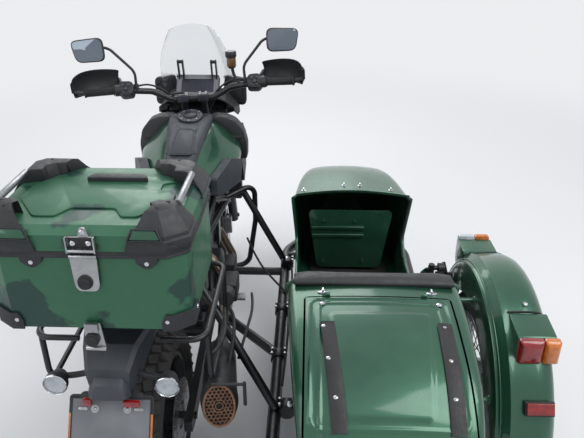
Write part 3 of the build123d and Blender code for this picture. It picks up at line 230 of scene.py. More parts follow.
def plate(outline, origin, across, up, thickness, corner=0.0, round_edge=0.8):
    """A flat piece from an outline in millimetres, raised along its normal."""
    points = rounded(outline, corner) if corner else [Vector(p) for p in outline]
    across, up = Vector(across).normalized(), Vector(up).normalized()
    calm()
    bpy.ops.mesh.primitive_circle_add(vertices=len(points), radius=1, fill_type="NGON")
    piece = bpy.context.object
    for vertex, point in zip(piece.data.vertices, points):
        vertex.co = origin + across * point.x / 1000 + up * point.y / 1000
    rise = across.cross(up) * thickness / 1000
    edit(piece, lambda: bpy.ops.mesh.extrude_region_move(TRANSFORM_OT_translate={"value": rise}), outward)
    if round_edge:
        soften(piece, round_edge, 2)
    return piece


def sheet(rows, wall=0.0, closed=False, ends=False, offset=-1.0):
    """A surface through rows of places; closed rows join into rings, and ends fills the two open rings."""
    if closed:
        rows = [list(row) + [row[0]] for row in rows]
    wide, deep = len(rows[0]), len(rows)
    calm()
    bpy.ops.mesh.primitive_grid_add(x_subdivisions=wide - 1, y_subdivisions=deep - 1, size=1)
    piece = bpy.context.object
    if len(piece.data.vertices) != wide * deep:
        raise RuntimeError("the grid has %d points instead of %d" % (len(piece.data.vertices), wide * deep))
    for i, vertex in enumerate(piece.data.vertices):
        vertex.co = rows[i // wide][i % wide]
    steps = [merge] if closed or ends else []
    if ends:
        steps += [lambda: bpy.ops.mesh.fill_holes(sides=0), outward]
    if steps:
        edit(piece, *steps)
    if wall:
        modify(piece, "SOLIDIFY", thickness=wall / 1000, offset=offset)
    return piece


def rounded_pairs(outline, radius):
    return [(p.x, p.y) for p in rounded(outline, radius)]


def turned(profile, origin, axis, steps=32, ends=True):
    """A lathe form: each row of the profile is a distance along the axis and a radius, in millimetres."""
    axis = Vector(axis).normalized()
    side = axis.orthogonal().normalized()
    other = axis.cross(side)
    rings = []
    turns = [2 * pi * k / steps for k in range(steps)]
    for along, radius in profile:
        middle = origin + axis * along / 1000
        rings.append([middle + (side * cos(turn) + other * sin(turn)) * max(radius, 0.01) / 1000
                      for turn in turns])
    return sheet(rings, closed=True, ends=ends)


def path_of(points, bend):
    """The runs between points with their corners bent, as a list of places."""
    result = [points[0]]
    for before, corner, after in zip(points, points[1:], points[2:]):
        back, ahead = before - corner, after - corner
        reach = min(bend / 1000, back.length * 0.49, ahead.length * 0.49)
        first, last = corner + back.normalized() * reach, corner + ahead.normalized() * reach
        for step in range(BEND_STEPS + 1):
            t = step / BEND_STEPS
            result.append(first * (1 - t) ** 2 + corner * 2 * t * (1 - t) + last * t * t)
    return result + [points[-1]]


def pipe(points, radius, bend=30.0, closed=False, smooth=False):
    """A tube along a route of places, with its corners bent or, where smooth, on a curve near the places."""
    calm()
    bpy.ops.curve.primitive_nurbs_path_add()
    curve = bpy.context.object.data
    curve.splines.clear()
    if smooth:
        places = points
        spline = curve.splines.new("NURBS")
    else:
        places = points if closed else path_of(points, bend)
        spline = curve.splines.new("POLY")
    spline.points.add(len(places) - 1)
    for point, place in zip(spline.points, places):
        point.co = (*place, 1)
    if smooth:
        spline.order_u = 3
        spline.use_endpoint_u = not closed
        spline.resolution_u = 6
    spline.use_cyclic_u = closed
    curve.dimensions = "3D"
    curve.bevel_depth = radius / 1000
    curve.bevel_resolution = TUBE_STEPS
    curve.use_fill_caps = True
    bpy.ops.object.convert(target="MESH")
    return settle(bpy.context.object)


def joined(*pieces):
    """Joins pieces and lists of pieces into the first one."""
    pieces = [piece for group in pieces for piece in (group if isinstance(group, (list, tuple)) else [group])]
    pick(*pieces)
    if len(pieces) > 1:
        bpy.ops.object.join()
    return bpy.context.view_layer.objects.active


def copied(piece, turn):
    """A copy with its own mesh, moved by a matrix."""
    twin = piece.copy()
    twin.data = piece.data.copy()
    bpy.context.collection.objects.link(twin)
    twin.data.transform(turn)
    return twin


def ring_of(piece, count, centre, axis):
    """Copies of a piece all round an axis, joined."""
    there = Matrix.Translation(centre)
    turns = [there @ Matrix.Rotation(2 * pi * k / count, 4, axis) @ there.inverted() for k in range(1, count)]
    return joined(piece, [copied(piece, turn) for turn in turns])


def placed(piece, places):
    """Copies of a piece modelled at the first place, put at all of them."""
    return joined(piece, [copied(piece, Matrix.Translation(place - places[0])) for place in places[1:]])


def cut(piece, tool):
    """Takes the tool's form out of the piece."""
    modify(piece, "BOOLEAN", object=tool, operation="DIFFERENCE", solver="EXACT")
    bpy.data.objects.remove(tool, do_unlink=True)
    return piece


def steered(piece):
    """Turns a piece that was modelled straight ahead to the parked steering angle."""
    joint = next(joint for joint in frame["joints"] if joint["name"] == "steering")
    foot = Matrix.Translation(Vector(joint["pos_m"] if "pos_m" in joint else joint["pos"]))
    turn = foot @ Matrix.Rotation(radians(PARKED_TURN), 4, Vector(joint["axis"])) @ foot.inverted()
    piece.data.transform(turn)
    return piece


def finished(pieces, name, material, body="chassis", *nodes, slot=None, smooth=35):
    """Joins, names, smooths, colours and fastens one finished piece, and turns it where it is steered."""
    piece = joined(pieces)
    if body in ("steering", "front_wheel"):
        steered(piece)
    piece.name = name
    piece.data.name = name
    settle(piece)
    bpy.ops.object.shade_smooth_by_angle(angle=radians(smooth))
    piece.data.materials.clear()
    piece.data.materials.append(finish_of(material))
    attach(piece, body)
    if nodes:
        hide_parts(*nodes)
    return piece


# Finishes

FINISHES = {
    # name: colour, second colour, patch scale, roughness low, high, metallic, bump, bump scale, coat
    "green_paint": ((44, 92, 68), (34, 78, 60), 3.0, 0.26, 0.38, 0.55, 0.02, 900.0, 0.6),
    "camo_paint": ((48, 98, 72), (28, 62, 54), 5.0, 0.42, 0.56, 0.35, 0.05, 1400.0, 0.15),
    "frame_black": ((24, 25, 27), (34, 35, 38), 14.0, 0.34, 0.5, 0.3, 0.05, 700.0, 0.1),
    "black_plastic": ((27, 28, 31), (36, 37, 40), 10.0, 0.5, 0.66, 0.0, 0.16, 1100.0, 0.0),
    "grey_plastic": ((58, 62, 68), (48, 52, 58), 7.0, 0.42, 0.56, 0.15, 0.08, 1300.0, 0.0),
    "textured_plastic": ((40, 42, 46), (30, 32, 35), 9.0, 0.62, 0.78, 0.0, 0.5, 420.0, 0.0),
    "engine_grey": ((52, 54, 58), (40, 42, 46), 12.0, 0.42, 0.6, 0.6, 0.12, 600.0, 0.0),
    "alloy": ((150, 153, 156), (128, 131, 134), 20.0, 0.25, 0.42, 0.9, 0.05, 500.0, 0.0),
    "bare_steel": ((176, 178, 180), (150, 152, 154), 16.0, 0.2, 0.36, 0.95, 0.04, 700.0, 0.0),
    "chrome": ((206, 208, 212), (188, 190, 196), 18.0, 0.08, 0.18, 1.0, 0.01, 400.0, 0.0),
    "header_steel": ((122, 108, 92), (88, 80, 78), 9.0, 0.3, 0.5, 0.85, 0.04, 500.0, 0.0),
    "bronze": ((150, 116, 94), (116, 88, 72), 30.0, 0.35, 0.5, 0.8, 0.08, 500.0, 0.0),
    "silencer": ((54, 56, 60), (42, 44, 48), 11.0, 0.36, 0.5, 0.6, 0.08, 700.0, 0.0),
    "chain_steel": ((96, 90, 78), (70, 66, 58), 60.0, 0.35, 0.55, 0.8, 0.1, 500.0, 0.0),
    "wheel_black": ((30, 31, 33), (40, 41, 44), 12.0, 0.32, 0.46, 0.4, 0.04, 700.0, 0.2),
    "shock_black": ((26, 27, 29), (38, 39, 41), 20.0, 0.35, 0.5, 0.2, 0.05, 600.0, 0.0),
    "tyre_rubber": ((31, 31, 32), (44, 43, 41), 16.0, 0.78, 0.92, 0.0, 0.25, 700.0, 0.0),
    "rubber": ((24, 24, 25), (33, 33, 34), 20.0, 0.66, 0.82, 0.0, 0.16, 900.0, 0.0),
    "strap_black": ((21, 21, 23), (29, 29, 31), 20.0, 0.5, 0.66, 0.0, 0.3, 700.0, 0.0),
    "vinyl": ((34, 35, 38), (26, 27, 29), 8.0, 0.42, 0.6, 0.0, 0.35, 520.0, 0.0),
    "plate_grey": ((118, 121, 124), (104, 107, 110), 10.0, 0.4, 0.55, 0.1, 0.04, 900.0, 0.0),
    "cap_grey": ((70, 73, 78), (58, 61, 66), 14.0, 0.3, 0.44, 0.7, 0.05, 700.0, 0.0),
    "red_lens": ((150, 22, 22), (116, 14, 16), 60.0, 0.12, 0.24, 0.0, 0.3, 260.0, 0.6),
    "amber_lens": ((206, 118, 40), (178, 92, 28), 60.0, 0.12, 0.24, 0.0, 0.3, 260.0, 0.6),
    "white_lens": ((196, 200, 204), (176, 182, 188), 60.0, 0.1, 0.22, 0.0, 0.3, 260.0, 0.6),
    "screen": ((20, 23, 38), (30, 34, 52), 14.0, 0.28, 0.4, 0.0, 0.0, 300.0, 0.0),
    "mirror_glass": ((120, 128, 138), (104, 112, 122), 4.0, 0.03, 0.07, 1.0, 0.0, 300.0, 0.0),
    "amber_fluid": ((112, 78, 44), (88, 60, 34), 20.0, 0.15, 0.28, 0.0, 0.03, 300.0, 0.6),
}
CAD_FINISHES = {
    # record's slot: finish shown, where its name differs
    "silencer_bronze": "silencer", "wheel_bright": "alloy", "clear_lens": "white_lens",
    "screen": "clear_glass", "display_dark": "screen",
}


def added(tree, kind, values=None, **settings):
    """A new shader node with its settings and the values of its inputs."""
    node = tree.nodes.new("ShaderNode" + kind)
    for name, value in settings.items():
        setattr(node, name, value)
    for name, value in (values or {}).items():
        node.inputs[name].default_value = value
    return node


def new_finish(name):
    """An empty material with its node tree, its shader, its link function and its object coordinates."""
    material = bpy.data.materials.new(name)
    material.use_nodes = True
    tree = material.node_tree
    shader = tree.nodes["Principled BSDF"]
    return material, tree, shader, tree.links.new, added(tree, "TexCoord").outputs["Object"]


def finish_of(name):
    """The named finish, made on its first use."""
    made = bpy.data.materials.get("Outfit_" + name)
    if made:
        return made
    if name == "clear_glass":
        return glass_finish(name)
    colour, patch, cloud, rough_low, rough_high, metal, bump, grain, coat = FINISHES[name]
    colour, patch = paint(*colour), paint(*patch)
    palette = bpy.context.scene.outfit_colours
    painted, pebbled = name in ("green_paint", "camo_paint"), name in ("vinyl", "textured_plastic")
    if painted:
        colour = tuple(palette.paint_colour) if name == "green_paint" else tuple(palette.case_colour)
    material, tree, shader, link, place = new_finish("Outfit_" + name)
    clouds = added(tree, "TexNoise", {"Scale": cloud, "Detail": 5})
    link(place, clouds.inputs["Vector"])
    low, high = (0.565, 0.59) if name == "camo_paint" else (0.35, 0.65)
    share = added(tree, "MapRange", {"From Min": low, "From Max": high})
    link(clouds.outputs["Fac"], share.inputs["Value"])
    blend = added(tree, "Mix", data_type="RGBA")
    blend.inputs["A"].default_value = (*colour, 1)
    blend.inputs["B"].default_value = (*patch, 1)
    link(share.outputs["Result"], blend.inputs["Factor"])
    fine = added(tree, "TexVoronoi" if pebbled else "TexNoise", {"Scale": grain})
    link(place, fine.inputs["Vector"])
    height = fine.outputs["Distance" if pebbled else "Fac"]
    tone = added(tree, "MapRange", {"To Min": 0.72 if painted else 0.86, "To Max": 1.2 if painted else 1.08})
    link(height, tone.inputs["Value"])
    speckle = added(tree, "Mix", data_type="RGBA", blend_type="MULTIPLY")
    speckle.inputs["Factor"].default_value = 1
    link(blend.outputs["Result"], speckle.inputs["A"])
    link(tone.outputs["Result"], speckle.inputs["B"])
    link(speckle.outputs["Result"], shader.inputs["Base Color"])
    wear = added(tree, "TexNoise", {"Scale": cloud * 6, "Detail": 8})
    link(place, wear.inputs["Vector"])
    rough = added(tree, "MapRange",
                  {"From Min": 0.3, "From Max": 0.7, "To Min": rough_low, "To Max": rough_high})
    link(wear.outputs["Fac"], rough.inputs["Value"])
    link(rough.outputs["Result"], shader.inputs["Roughness"])
    relief = added(tree, "Bump", {"Strength": bump, "Distance": 0.0008})
    link(height, relief.inputs["Height"])
    link(relief.outputs["Normal"], shader.inputs["Normal"])
    for socket, value in (("Metallic", metal), ("Coat Weight", coat), ("Coat Roughness", 0.08)):
        shader.inputs[socket].default_value = value
    return material


def glass_finish(name):
    """Clear screen plastic with fine wiping marks."""
    material, tree, shader, link, place = new_finish("Outfit_" + name)
    marks = added(tree, "TexNoise", {"Scale": 9, "Detail": 6})
    link(place, marks.inputs["Vector"])
    tint = added(tree, "Mix", data_type="RGBA")
    tint.inputs["A"].default_value = (0.86, 0.9, 0.92, 1)
    tint.inputs["B"].default_value = (0.74, 0.8, 0.83, 1)
    link(marks.outputs["Fac"], tint.inputs["Factor"])
    link(tint.outputs["Result"], shader.inputs["Base Color"])
    rough = added(tree, "MapRange", {"To Min": 0.02, "To Max": 0.1})
    link(marks.outputs["Fac"], rough.inputs["Value"])
    link(rough.outputs["Result"], shader.inputs["Roughness"])
    relief = added(tree, "Bump", {"Strength": 0.01})
    link(marks.outputs["Fac"], relief.inputs["Height"])
    link(relief.outputs["Normal"], shader.inputs["Normal"])
    for socket, value in (("Transmission Weight", 0.9), ("IOR", 1.2), ("Alpha", 0.45)):
        shader.inputs[socket].default_value = value
    return material


# Form of the tub


def tub_row(y):
    """The tub's section values at a station, on smooth curves through the rows."""
    rows = TUB_ROWS
    y = min(max(y, rows[-1][0]), rows[0][0])
    i = next(i for i in range(len(rows) - 1) if rows[i + 1][0] <= y)
    first, last = rows[i], rows[i + 1]
    before, after = rows[max(i - 1, 0)], rows[min(i + 2, len(rows) - 1)]
    span = last[0] - first[0]
    t = (y - first[0]) / span
    values = []
    for a, b, c, d in zip(before[1:], first[1:], last[1:], after[1:]):
        steep = (c - b) / span
        start = steep if before is first else (steep + (b - a) / (first[0] - before[0])) / 2
        end = steep if after is last else (steep + (d - c) / (after[0] - last[0])) / 2
        if steep == 0:
            start = end = 0
        else:
            start = min(max(start / steep, 0), 3) * steep
            end = min(max(end / steep, 0), 3) * steep
        values.append((2 * t**3 - 3 * t**2 + 1) * b + (t**3 - 2 * t**2 + t) * span * start
                      + (3 * t**2 - 2 * t**3) * c + (t**3 - t**2) * span * end)
    return values


def tub_middle(y):
    return TUB_X + TUB_TOE * (TUB_TOE_Y - y)


def tub_at(x, y, z):
    """A place from the tub's own middle plane."""
    return at(tub_middle(y) + x, y, z)


def deck(x, y, lift=0.0):
    """The height of the tub's skin over a place on its top."""
    _, top, _, half_top, crown, _ = tub_row(y)
    share = min(abs(x) / half_top, 1)
    return tub_at(x, y, top + crown * (1 - share * share) + lift)


def tub_ring(y, inset=0.0):
    """One closed section of the tub with rounded corners, as places."""
    foot, top, half_foot, half_top, crown, corner = tub_row(y)
    foot, top, a, b = foot + inset, top - inset, half_foot - inset, half_top - inset
    outline = rounded(four(a, b, foot, top), corner * 1.25 - inset * 0.5, 6)

    def lifted(p):
        on_top = p.y > (foot + top) / 2 and abs(p.x) < b - 1
        return tub_at(p.x, y, p.y + (crown * (1 - (p.x / b) ** 2) if on_top else 0))

    low, high = outline[THIRD_CORNER - 1].x, outline[THIRD_CORNER].x
    across = [low + (high - low) * k / ROW_STEPS for k in range(1, ROW_STEPS)]
    crest = [tub_at(x, y, top + crown * (1 - (x / b) ** 2)) for x in across]
    return [lifted(p) for p in outline[:THIRD_CORNER]] + crest + [lifted(p) for p in outline[THIRD_CORNER:]]


def tub_edge(y, z, side, grow=0.0):
    """A place on the tub's side wall."""
    foot, top, half_foot, half_top, _, _ = tub_row(y)
    share = min(max((z - foot) / (top - foot), 0), 1)
    return tub_at(side * (half_foot + (half_top - half_foot) * share + grow), y, z)


# User's choices


class OutfitColours(bpy.types.PropertyGroup):
    paint_colour: bpy.props.FloatVectorProperty(
        name="Paint", description="Colour of the tank, the tub and the mudguard", subtype="COLOR", size=3,
        min=0, max=1, default=paint(*FINISHES["green_paint"][0]))
    case_colour: bpy.props.FloatVectorProperty(
        name="Case paint", description="Lighter colour of the top case", subtype="COLOR", size=3,
        min=0, max=1, default=paint(*FINISHES["camo_paint"][0]))
    floor_colour: bpy.props.FloatVectorProperty(
        name="Floor", description="Colour of the plain floor", subtype="COLOR", size=3, min=0, max=1,
        default=(0.74, 0.74, 0.73))


class OutfitSizes(bpy.types.PropertyGroup):
    strap_width: bpy.props.FloatProperty(
        name="Strap width", description="Width of the two straps over the luggage lid", default=0.039,
        unit="LENGTH")
    rim_radius: bpy.props.FloatProperty(
        name="Rolled rim", description="Radius of the rolled edge round the cockpit", default=0.007,
        unit="LENGTH")
    bead_height: bpy.props.FloatProperty(
        name="Bead height", description="How far the pressed beads stand out of the sheet", default=0.003,
        unit="LENGTH")
    tread_depth: bpy.props.FloatProperty(
        name="Tread depth", description="Depth of the tyres' tread blocks", default=0.006, unit="LENGTH")
    grip_rib: bpy.props.FloatProperty(
        name="Grip rib", description="Height of the ribs on the handlebar grips", default=0.0012,
        unit="LENGTH")
    lens_mm: bpy.props.FloatProperty(
        name="Lens", description="Focal length of the camera in millimetres", default=38.31, min=10, max=200)


# Stage


def seen_rays(tree):
    """A socket that is 1 for the rays that show the backdrop and 0 for the rays that light the pieces."""
    rays = added(tree, "LightPath")
    first, second = added(tree, "Math", operation="MAXIMUM"), added(tree, "Math", operation="MAXIMUM")
    tree.links.new(rays.outputs["Is Camera Ray"], first.inputs[0])
    tree.links.new(rays.outputs["Is Glossy Ray"], first.inputs[1])
    tree.links.new(first.outputs[0], second.inputs[0])
    tree.links.new(rays.outputs["Is Transmission Ray"], second.inputs[1])
    return second.outputs[0]


def mixed(tree, factor, first, second, output):
    """Mixes two shaders into the surface of an output."""
    whole = added(tree, "MixShader")
    for socket, source in zip(whole.inputs, (factor, first, second)):
        tree.links.new(source, socket)
    tree.links.new(whole.outputs[0], tree.nodes[output].inputs["Surface"])


class OUTFIT_OT_stage(bpy.types.Operator):
    """Adds the floor, the soft lights and the camera"""

    bl_idname = "outfit.stage"
    bl_label = "Stage"

    def execute(self, context):
        calm()
        bpy.ops.mesh.primitive_plane_add(size=60, location=(0, 0, 0))
        floor = bpy.context.object
        floor.name = "floor"
        material, tree, shader, link, place = new_finish("Floor")
        grain = added(tree, "TexNoise", {"Scale": 1.2})
        link(place, grain.inputs["Vector"])
        blend = added(tree, "Mix", data_type="RGBA")
        tone = tuple(context.scene.outfit_colours.floor_colour)
        blend.inputs["A"].default_value = (*tone, 1)
        blend.inputs["B"].default_value = (*[value * 0.96 for value in tone], 1)
        link(grain.outputs["Fac"], blend.inputs["Factor"])
        link(blend.outputs["Result"], shader.inputs["Base Color"])
        shader.inputs["Roughness"].default_value = 0.9
        far = added(tree, "VectorMath", operation="LENGTH")
        link(place, far.inputs[0])
        fade = added(tree, "MapRange", {"From Min": FADE_START, "From Max": FADE_END},
                     interpolation_type="SMOOTHSTEP")
        link(far.outputs["Value"], fade.inputs["Value"])
        share = added(tree, "Math", operation="MULTIPLY")
        link(fade.outputs["Result"], share.inputs[0])
        link(seen_rays(tree), share.inputs[1])
        pale = added(tree, "Emission", {"Color": BACKDROP})
        mixed(tree, share.outputs[0], shader.outputs[0], pale.outputs[0], "Material Output")
        floor.data.materials.append(material)
        world = bpy.data.worlds.new("Soft_sky")
        context.scene.world = world
        world.use_nodes = True
        tree = world.node_tree
        glow = tree.nodes["Background"]
        glow.inputs["Color"].default_value = SKY
        glow.inputs["Strength"].default_value = SKY_STRENGTH
        backdrop = added(tree, "Background", {"Color": BACKDROP})
        mixed(tree, seen_rays(tree), glow.outputs[0], backdrop.outputs[0], "World Output")
        for name, place, power, size in LAMPS:
            bpy.ops.object.light_add(type="AREA", location=place)
            lamp = bpy.context.object
            lamp.name = name
            lamp.data.energy = power
            lamp.data.size = size
            lamp.rotation_euler = (Vector(LAMP_TARGET) - Vector(place)).to_track_quat("-Z", "Y").to_euler()
        bpy.ops.object.camera_add(location=at(*CAMERA_PLACE), rotation=(pi / 2 - CAMERA_TILT, 0, CAMERA_TURN))
        camera = bpy.context.object
        camera.name = "camera"
        camera.data.lens = context.scene.outfit_sizes.lens_mm
        camera.data.sensor_width = 36
        context.scene.camera = camera
        context.scene.view_settings.view_transform = "Standard"
        return {"FINISHED"}


class OUTFIT_OT_finishes(bpy.types.Operator):
    """Gives every CAD node its finish"""

    bl_idname = "outfit.finishes"
    bl_label = "Finishes"

    def execute(self, context):
        slots = {part["node"]: part["material_slot"] for part in frame["record"]["subparts"]}
        special = {"case_body": "camo_paint", "case_lid": "camo_paint", "display": "textured_plastic"}
        for name, node in frame["nodes"].items():
            material = finish_of(special.get(name, CAD_FINISHES.get(slots[name], slots[name])))
            if not node.material_slots:
                node.data.materials.append(material)
            for place in node.material_slots:
                place.material = material
        return {"FINISHED"}


# Sidecar


class OUTFIT_OT_tub(bpy.types.Operator):
    """Builds the tub's skin, its rolled rim and its fittings"""

    bl_idname = "outfit.tub"
    bl_label = "Tub"

    def execute(self, context):
        shell = sheet([tub_ring(y) for y in TUB_STATIONS], closed=True, ends=True)
        modify(shell, "SOLIDIFY", thickness=0.003, offset=-1)
        cut(shell, plate(SIDE_CUT, at(TUB_X - 400, 0, 0), Y, Z, 800, corner=30, round_edge=0))
        bay = [(LID_REAR - 6, -LID_HALF - 6), (LID_FRONT + 6, -LID_HALF - 6), (LID_FRONT + 6, LID_HALF + 6),
               (LID_REAR - 6, LID_HALF + 6)]
        lid_x = tub_middle((LID_FRONT + LID_REAR) / 2)
        cut(shell, plate([(x, y) for y, x in reversed(bay)], at(lid_x, 0, 620), X, Y, 400, corner=18,
                         round_edge=0))
        bulkhead = tub_ring(42, 3)
        wall = sheet([bulkhead, [p + mm(0, -3, 0) for p in bulkhead]], closed=True, ends=True)
        board = block((TUB_X - 236, 44, 458), (TUB_X + 252, 566, 470), 1)
        board_front = block((TUB_X - 232, 548, 368), (TUB_X + 240, 560, 462), 1)
        feet = [block((TUB_X + side * half - 26, y - 15, 329),
                      (TUB_X + side * half + 26, y + 15, 374 if y > -300 else 408), 2)
                for y, half in ((-320, 170), (60, 190), (640, 190), (1130, 150)) for side in (1, -1)]
        finished([shell, wall, board, board_front, *feet], "tub_shell", "green_paint", "chassis", "tub")
        radius = context.scene.outfit_sizes.rim_radius * 1000
        side_line = rounded(SIDE_CUT, 30)
        side_line = [p for p in side_line if p.y < tub_row(p.x)[1] - 4]
        route = [tub_edge(p.x, p.y, 1, 1) for p in side_line]
        half = tub_row(872)[3]
        route += [deck(half * k / 12, 872, 2) for k in range(11, -12, -1)]
        route += [tub_edge(p.x, p.y, -1, 1) for p in reversed(side_line)]
        half = tub_row(47)[3]
        route += [deck(half * k / 12, 47, 2) for k in range(-11, 12)]
        finished(pipe(route, radius, closed=True), "cockpit_rim", "green_paint")
        lip = sheet([[deck(half_x, y, lift) for half_x in [tub_row(872)[3] * k / 16 for k in range(-15, 16)]]
                     for y, lift in ((884, 1), (868, 3), (852, 9), (846, 15))], wall=2.5)
        finished(lip, "hood_lip", "green_paint")
        gasket = pipe([tub_edge(p.x, p.y, 1, -5) + mm(0, -5, 0) for p in side_line if p.y > 500 and p.x > 700]
                      + [deck(250, 860, -6)], 4.5, bend=8)
        finished(gasket, "cockpit_gasket", "rubber")
        buttons = []
        for x, y, wide in ((-216, 928, 0), (-31, 955, 0), (42, 955, 0), (181, 930, 0), (-163, -22, 1),
                           (177, -22, 1)):
            foot = deck(x, y, 0)
            eye = [(cos(k * pi / 12) * (17 if wide else 12), sin(k * pi / 12) * (9 if wide else 7))
                   for k in range(24)]
            buttons += [plate(eye, foot - mm(0, 0, 2), X, Y, 5, round_edge=1),
                        rod(foot, foot + mm(0, 0, 10), 4),
                        block([(foot.x - row_x) * 1000 - 3, (foot.y - row_y) * 1000 - 10, foot.z * 1000 + 8],
                              [(foot.x - row_x) * 1000 + 3, (foot.y - row_y) * 1000 + 10, foot.z * 1000 + 13],
                              1.4)]
        finished(buttons, "turn_buttons", "chrome")
        panel = plate(rounded_pairs(four(150, 195, 395, 700), 30), tub_at(0, 912, 0), X, Z, -4)
        finished(panel, "footwell_panel", "green_paint")
        bars = [block((tub_middle(900) - 178, 898, z - 8), (tub_middle(900) + 66, 910, z + 8), 3, 3)
                for z in (573, 613)]
        pins = [rod(at(x, 912, z), at(x, 898, z), 6, round_edge=1)
                for x, z in ((611, 645), (754, 645), (610, 431), (798, 434))]
        finished(bars + pins, "footwell_bars", "green_paint")
        mat = plate(four(196, 176, 570, 1240), at(TUB_X - 2, 0, 369), X, Y, 6, corner=20)
        finished(mat, "floor_mat", "rubber")
        return {"FINISHED"}


def near_rect(x, y, left, right, rear, front, corner):
    """Distance from a rounded rectangle's line; it is negative inside."""
    dx = abs(x - (left + right) / 2) - (right - left) / 2 + corner
    dy = abs(y - (rear + front) / 2) - (front - rear) / 2 + corner
    return hypot(max(dx, 0), max(dy, 0)) + min(max(dx, dy), 0) - corner


class OUTFIT_OT_luggage_lid(bpy.types.Operator):
    """Builds the pressed luggage lid with its beads, panel and riveted straps"""

    bl_idname = "outfit.luggage_lid"
    bl_label = "Luggage lid"

    def execute(self, context):
        bead = context.scene.outfit_sizes.bead_height * 1000

        def lift(x, y):
            outer = near_rect(x, y, -LID_HALF + 14, LID_HALF - 14, LID_REAR + 14, LID_FRONT - 12, 26)
            inner = near_rect(x, y, -LID_HALF + 40, LID_HALF - 40, LID_REAR - 60, LID_FRONT - 32, 30)
            panel = near_rect(x, y, -152 - 0.09 * (y + 120), 152 + 0.09 * (y + 120), LID_REAR + 30, -122, 22)
            height = bead * max(0, 1 - (outer / 6) ** 2) + bead * max(0, 1 - (inner / 6) ** 2)
            return height + 3.5 * min(max(-panel / 9, 0), 1)

        across, along = 96, 110
        rows = []
        middle = (LID_FRONT + LID_REAR) / 2
        for j in range(along + 1):
            y = LID_REAR + (LID_FRONT - LID_REAR) * j / along
            shift = tub_middle(middle) - tub_middle(y)
            rows.append([deck(x + shift, y, lift(x, y))
                         for x in [-LID_HALF + 2 * LID_HALF * i / across for i in range(across + 1)]])
        skirt = mm(0, 0, -8)
        rows = [[row[0] + skirt] + row + [row[-1] + skirt] for row in rows]
        rows = [[p + skirt for p in rows[0]]] + rows + [[p + skirt for p in rows[-1]]]
        lid = sheet(rows, wall=2.0)
        knuckles = [rod(tub_at(side * 150 - 9, -38, 872), tub_at(side * 150 + 9, -38, 872), 7, round_edge=1)
                    for side in (1, -1)]
        leaves = [block((x - 9, -76, 861), (x + 9, -40, 868), 2)
                  for x in (tub_middle(-60) + 150, tub_middle(-60) - 150)]
        finished([lid, *knuckles, *leaves], "luggage_lid_skin", "green_paint", "luggage_lid", "tub_lid")
        half = context.scene.outfit_sizes.strap_width * 500
        straps, rivets = [], []
        for near, far, rivet_rows in ((-163, -134, ((-85, -168), (-186, -166), (-305, -157), (-415, -142))),
                                      (192, 170, ((-82, 188), (-184, 184), (-306, 178), (-413, 172)))):
            path = []
            for k in range(30):
                y = -172 - (-LID_REAR - 176) * k / 29
                x = near + (far - near) * (y + 56) / (LID_REAR + 56)
                rise = 4.5 + (2 if k in (0, 29) else 0)
                path.append([deck(x - half, y, rise - 1.5), deck(x - half + 3, y, rise),
                             deck(x, y, rise + 0.6), deck(x + half - 3, y, rise),
                             deck(x + half, y, rise - 1.5)])
            straps.append(sheet(path, wall=3.2, offset=-1))
            for y, x in rivet_rows:
                foot = deck(x, y, 3)
                rivets.append(turned([(-1, 9.5), (2.5, 9), (4.5, 6), (5.5, 0)], foot, (0, 0.12, 1), 20))
        finished(edit(joined(straps), outward), "lid_straps", "strap_black", "luggage_lid")
        finished(rivets, "strap_rivets", "chrome", "luggage_lid")
        return {"FINISHED"}


def swollen(piece, cap):
    """Inflates a pad a little with cloth, so that its sides crown as foam does."""
    modify(piece, "REMESH", mode="VOXEL", voxel_size=PAD_VOXEL)
    before = [vertex.co.copy() for vertex in piece.data.vertices]
    pick(piece)
    cloth = piece.modifiers.new("Cloth", "CLOTH")
    cloth.settings.use_pressure = True
    cloth.settings.uniform_pressure_force = PAD_PRESSURE
    cloth.settings.effector_weights.gravity = 0
    cloth.settings.quality = 4
    cloth.collision_settings.use_collision = False
    for step in range(1, PAD_FRAMES + 1):
        bpy.context.scene.frame_set(step)
    bpy.ops.object.modifier_apply(modifier=cloth.name)
    bpy.context.scene.frame_set(1)
    for vertex, old in zip(piece.data.vertices, before):
        travel = vertex.co - old
        if travel.length > cap / 1000:
            vertex.co = old + travel.normalized() * cap / 1000
    return modify(piece, "SUBSURF", levels=1, render_levels=1)


def channels(piece, lines, depth, width):
    """Presses sewn lines into the upper side of a pad; each line is an axis number and a place in metres."""
    for vertex in piece.data.vertices:
        for axis, place in lines:
            away = abs(vertex.co[axis] - place)
            if away < width / 1000 and vertex.normal.z > 0.2:
                vertex.co.z -= depth / 1000 * (1 - away / (width / 1000)) ** 2
    return piece


SADDLE_ROWS = (
    # y, half width, top, foot
    (640, 50, 930, 886), (618, 56, 926, 874), (520, 98, 886, 842), (380, 150, 876, 838), (260, 157, 886, 842),
    (205, 142, 926, 858), (82, 124, 942, 880),
)


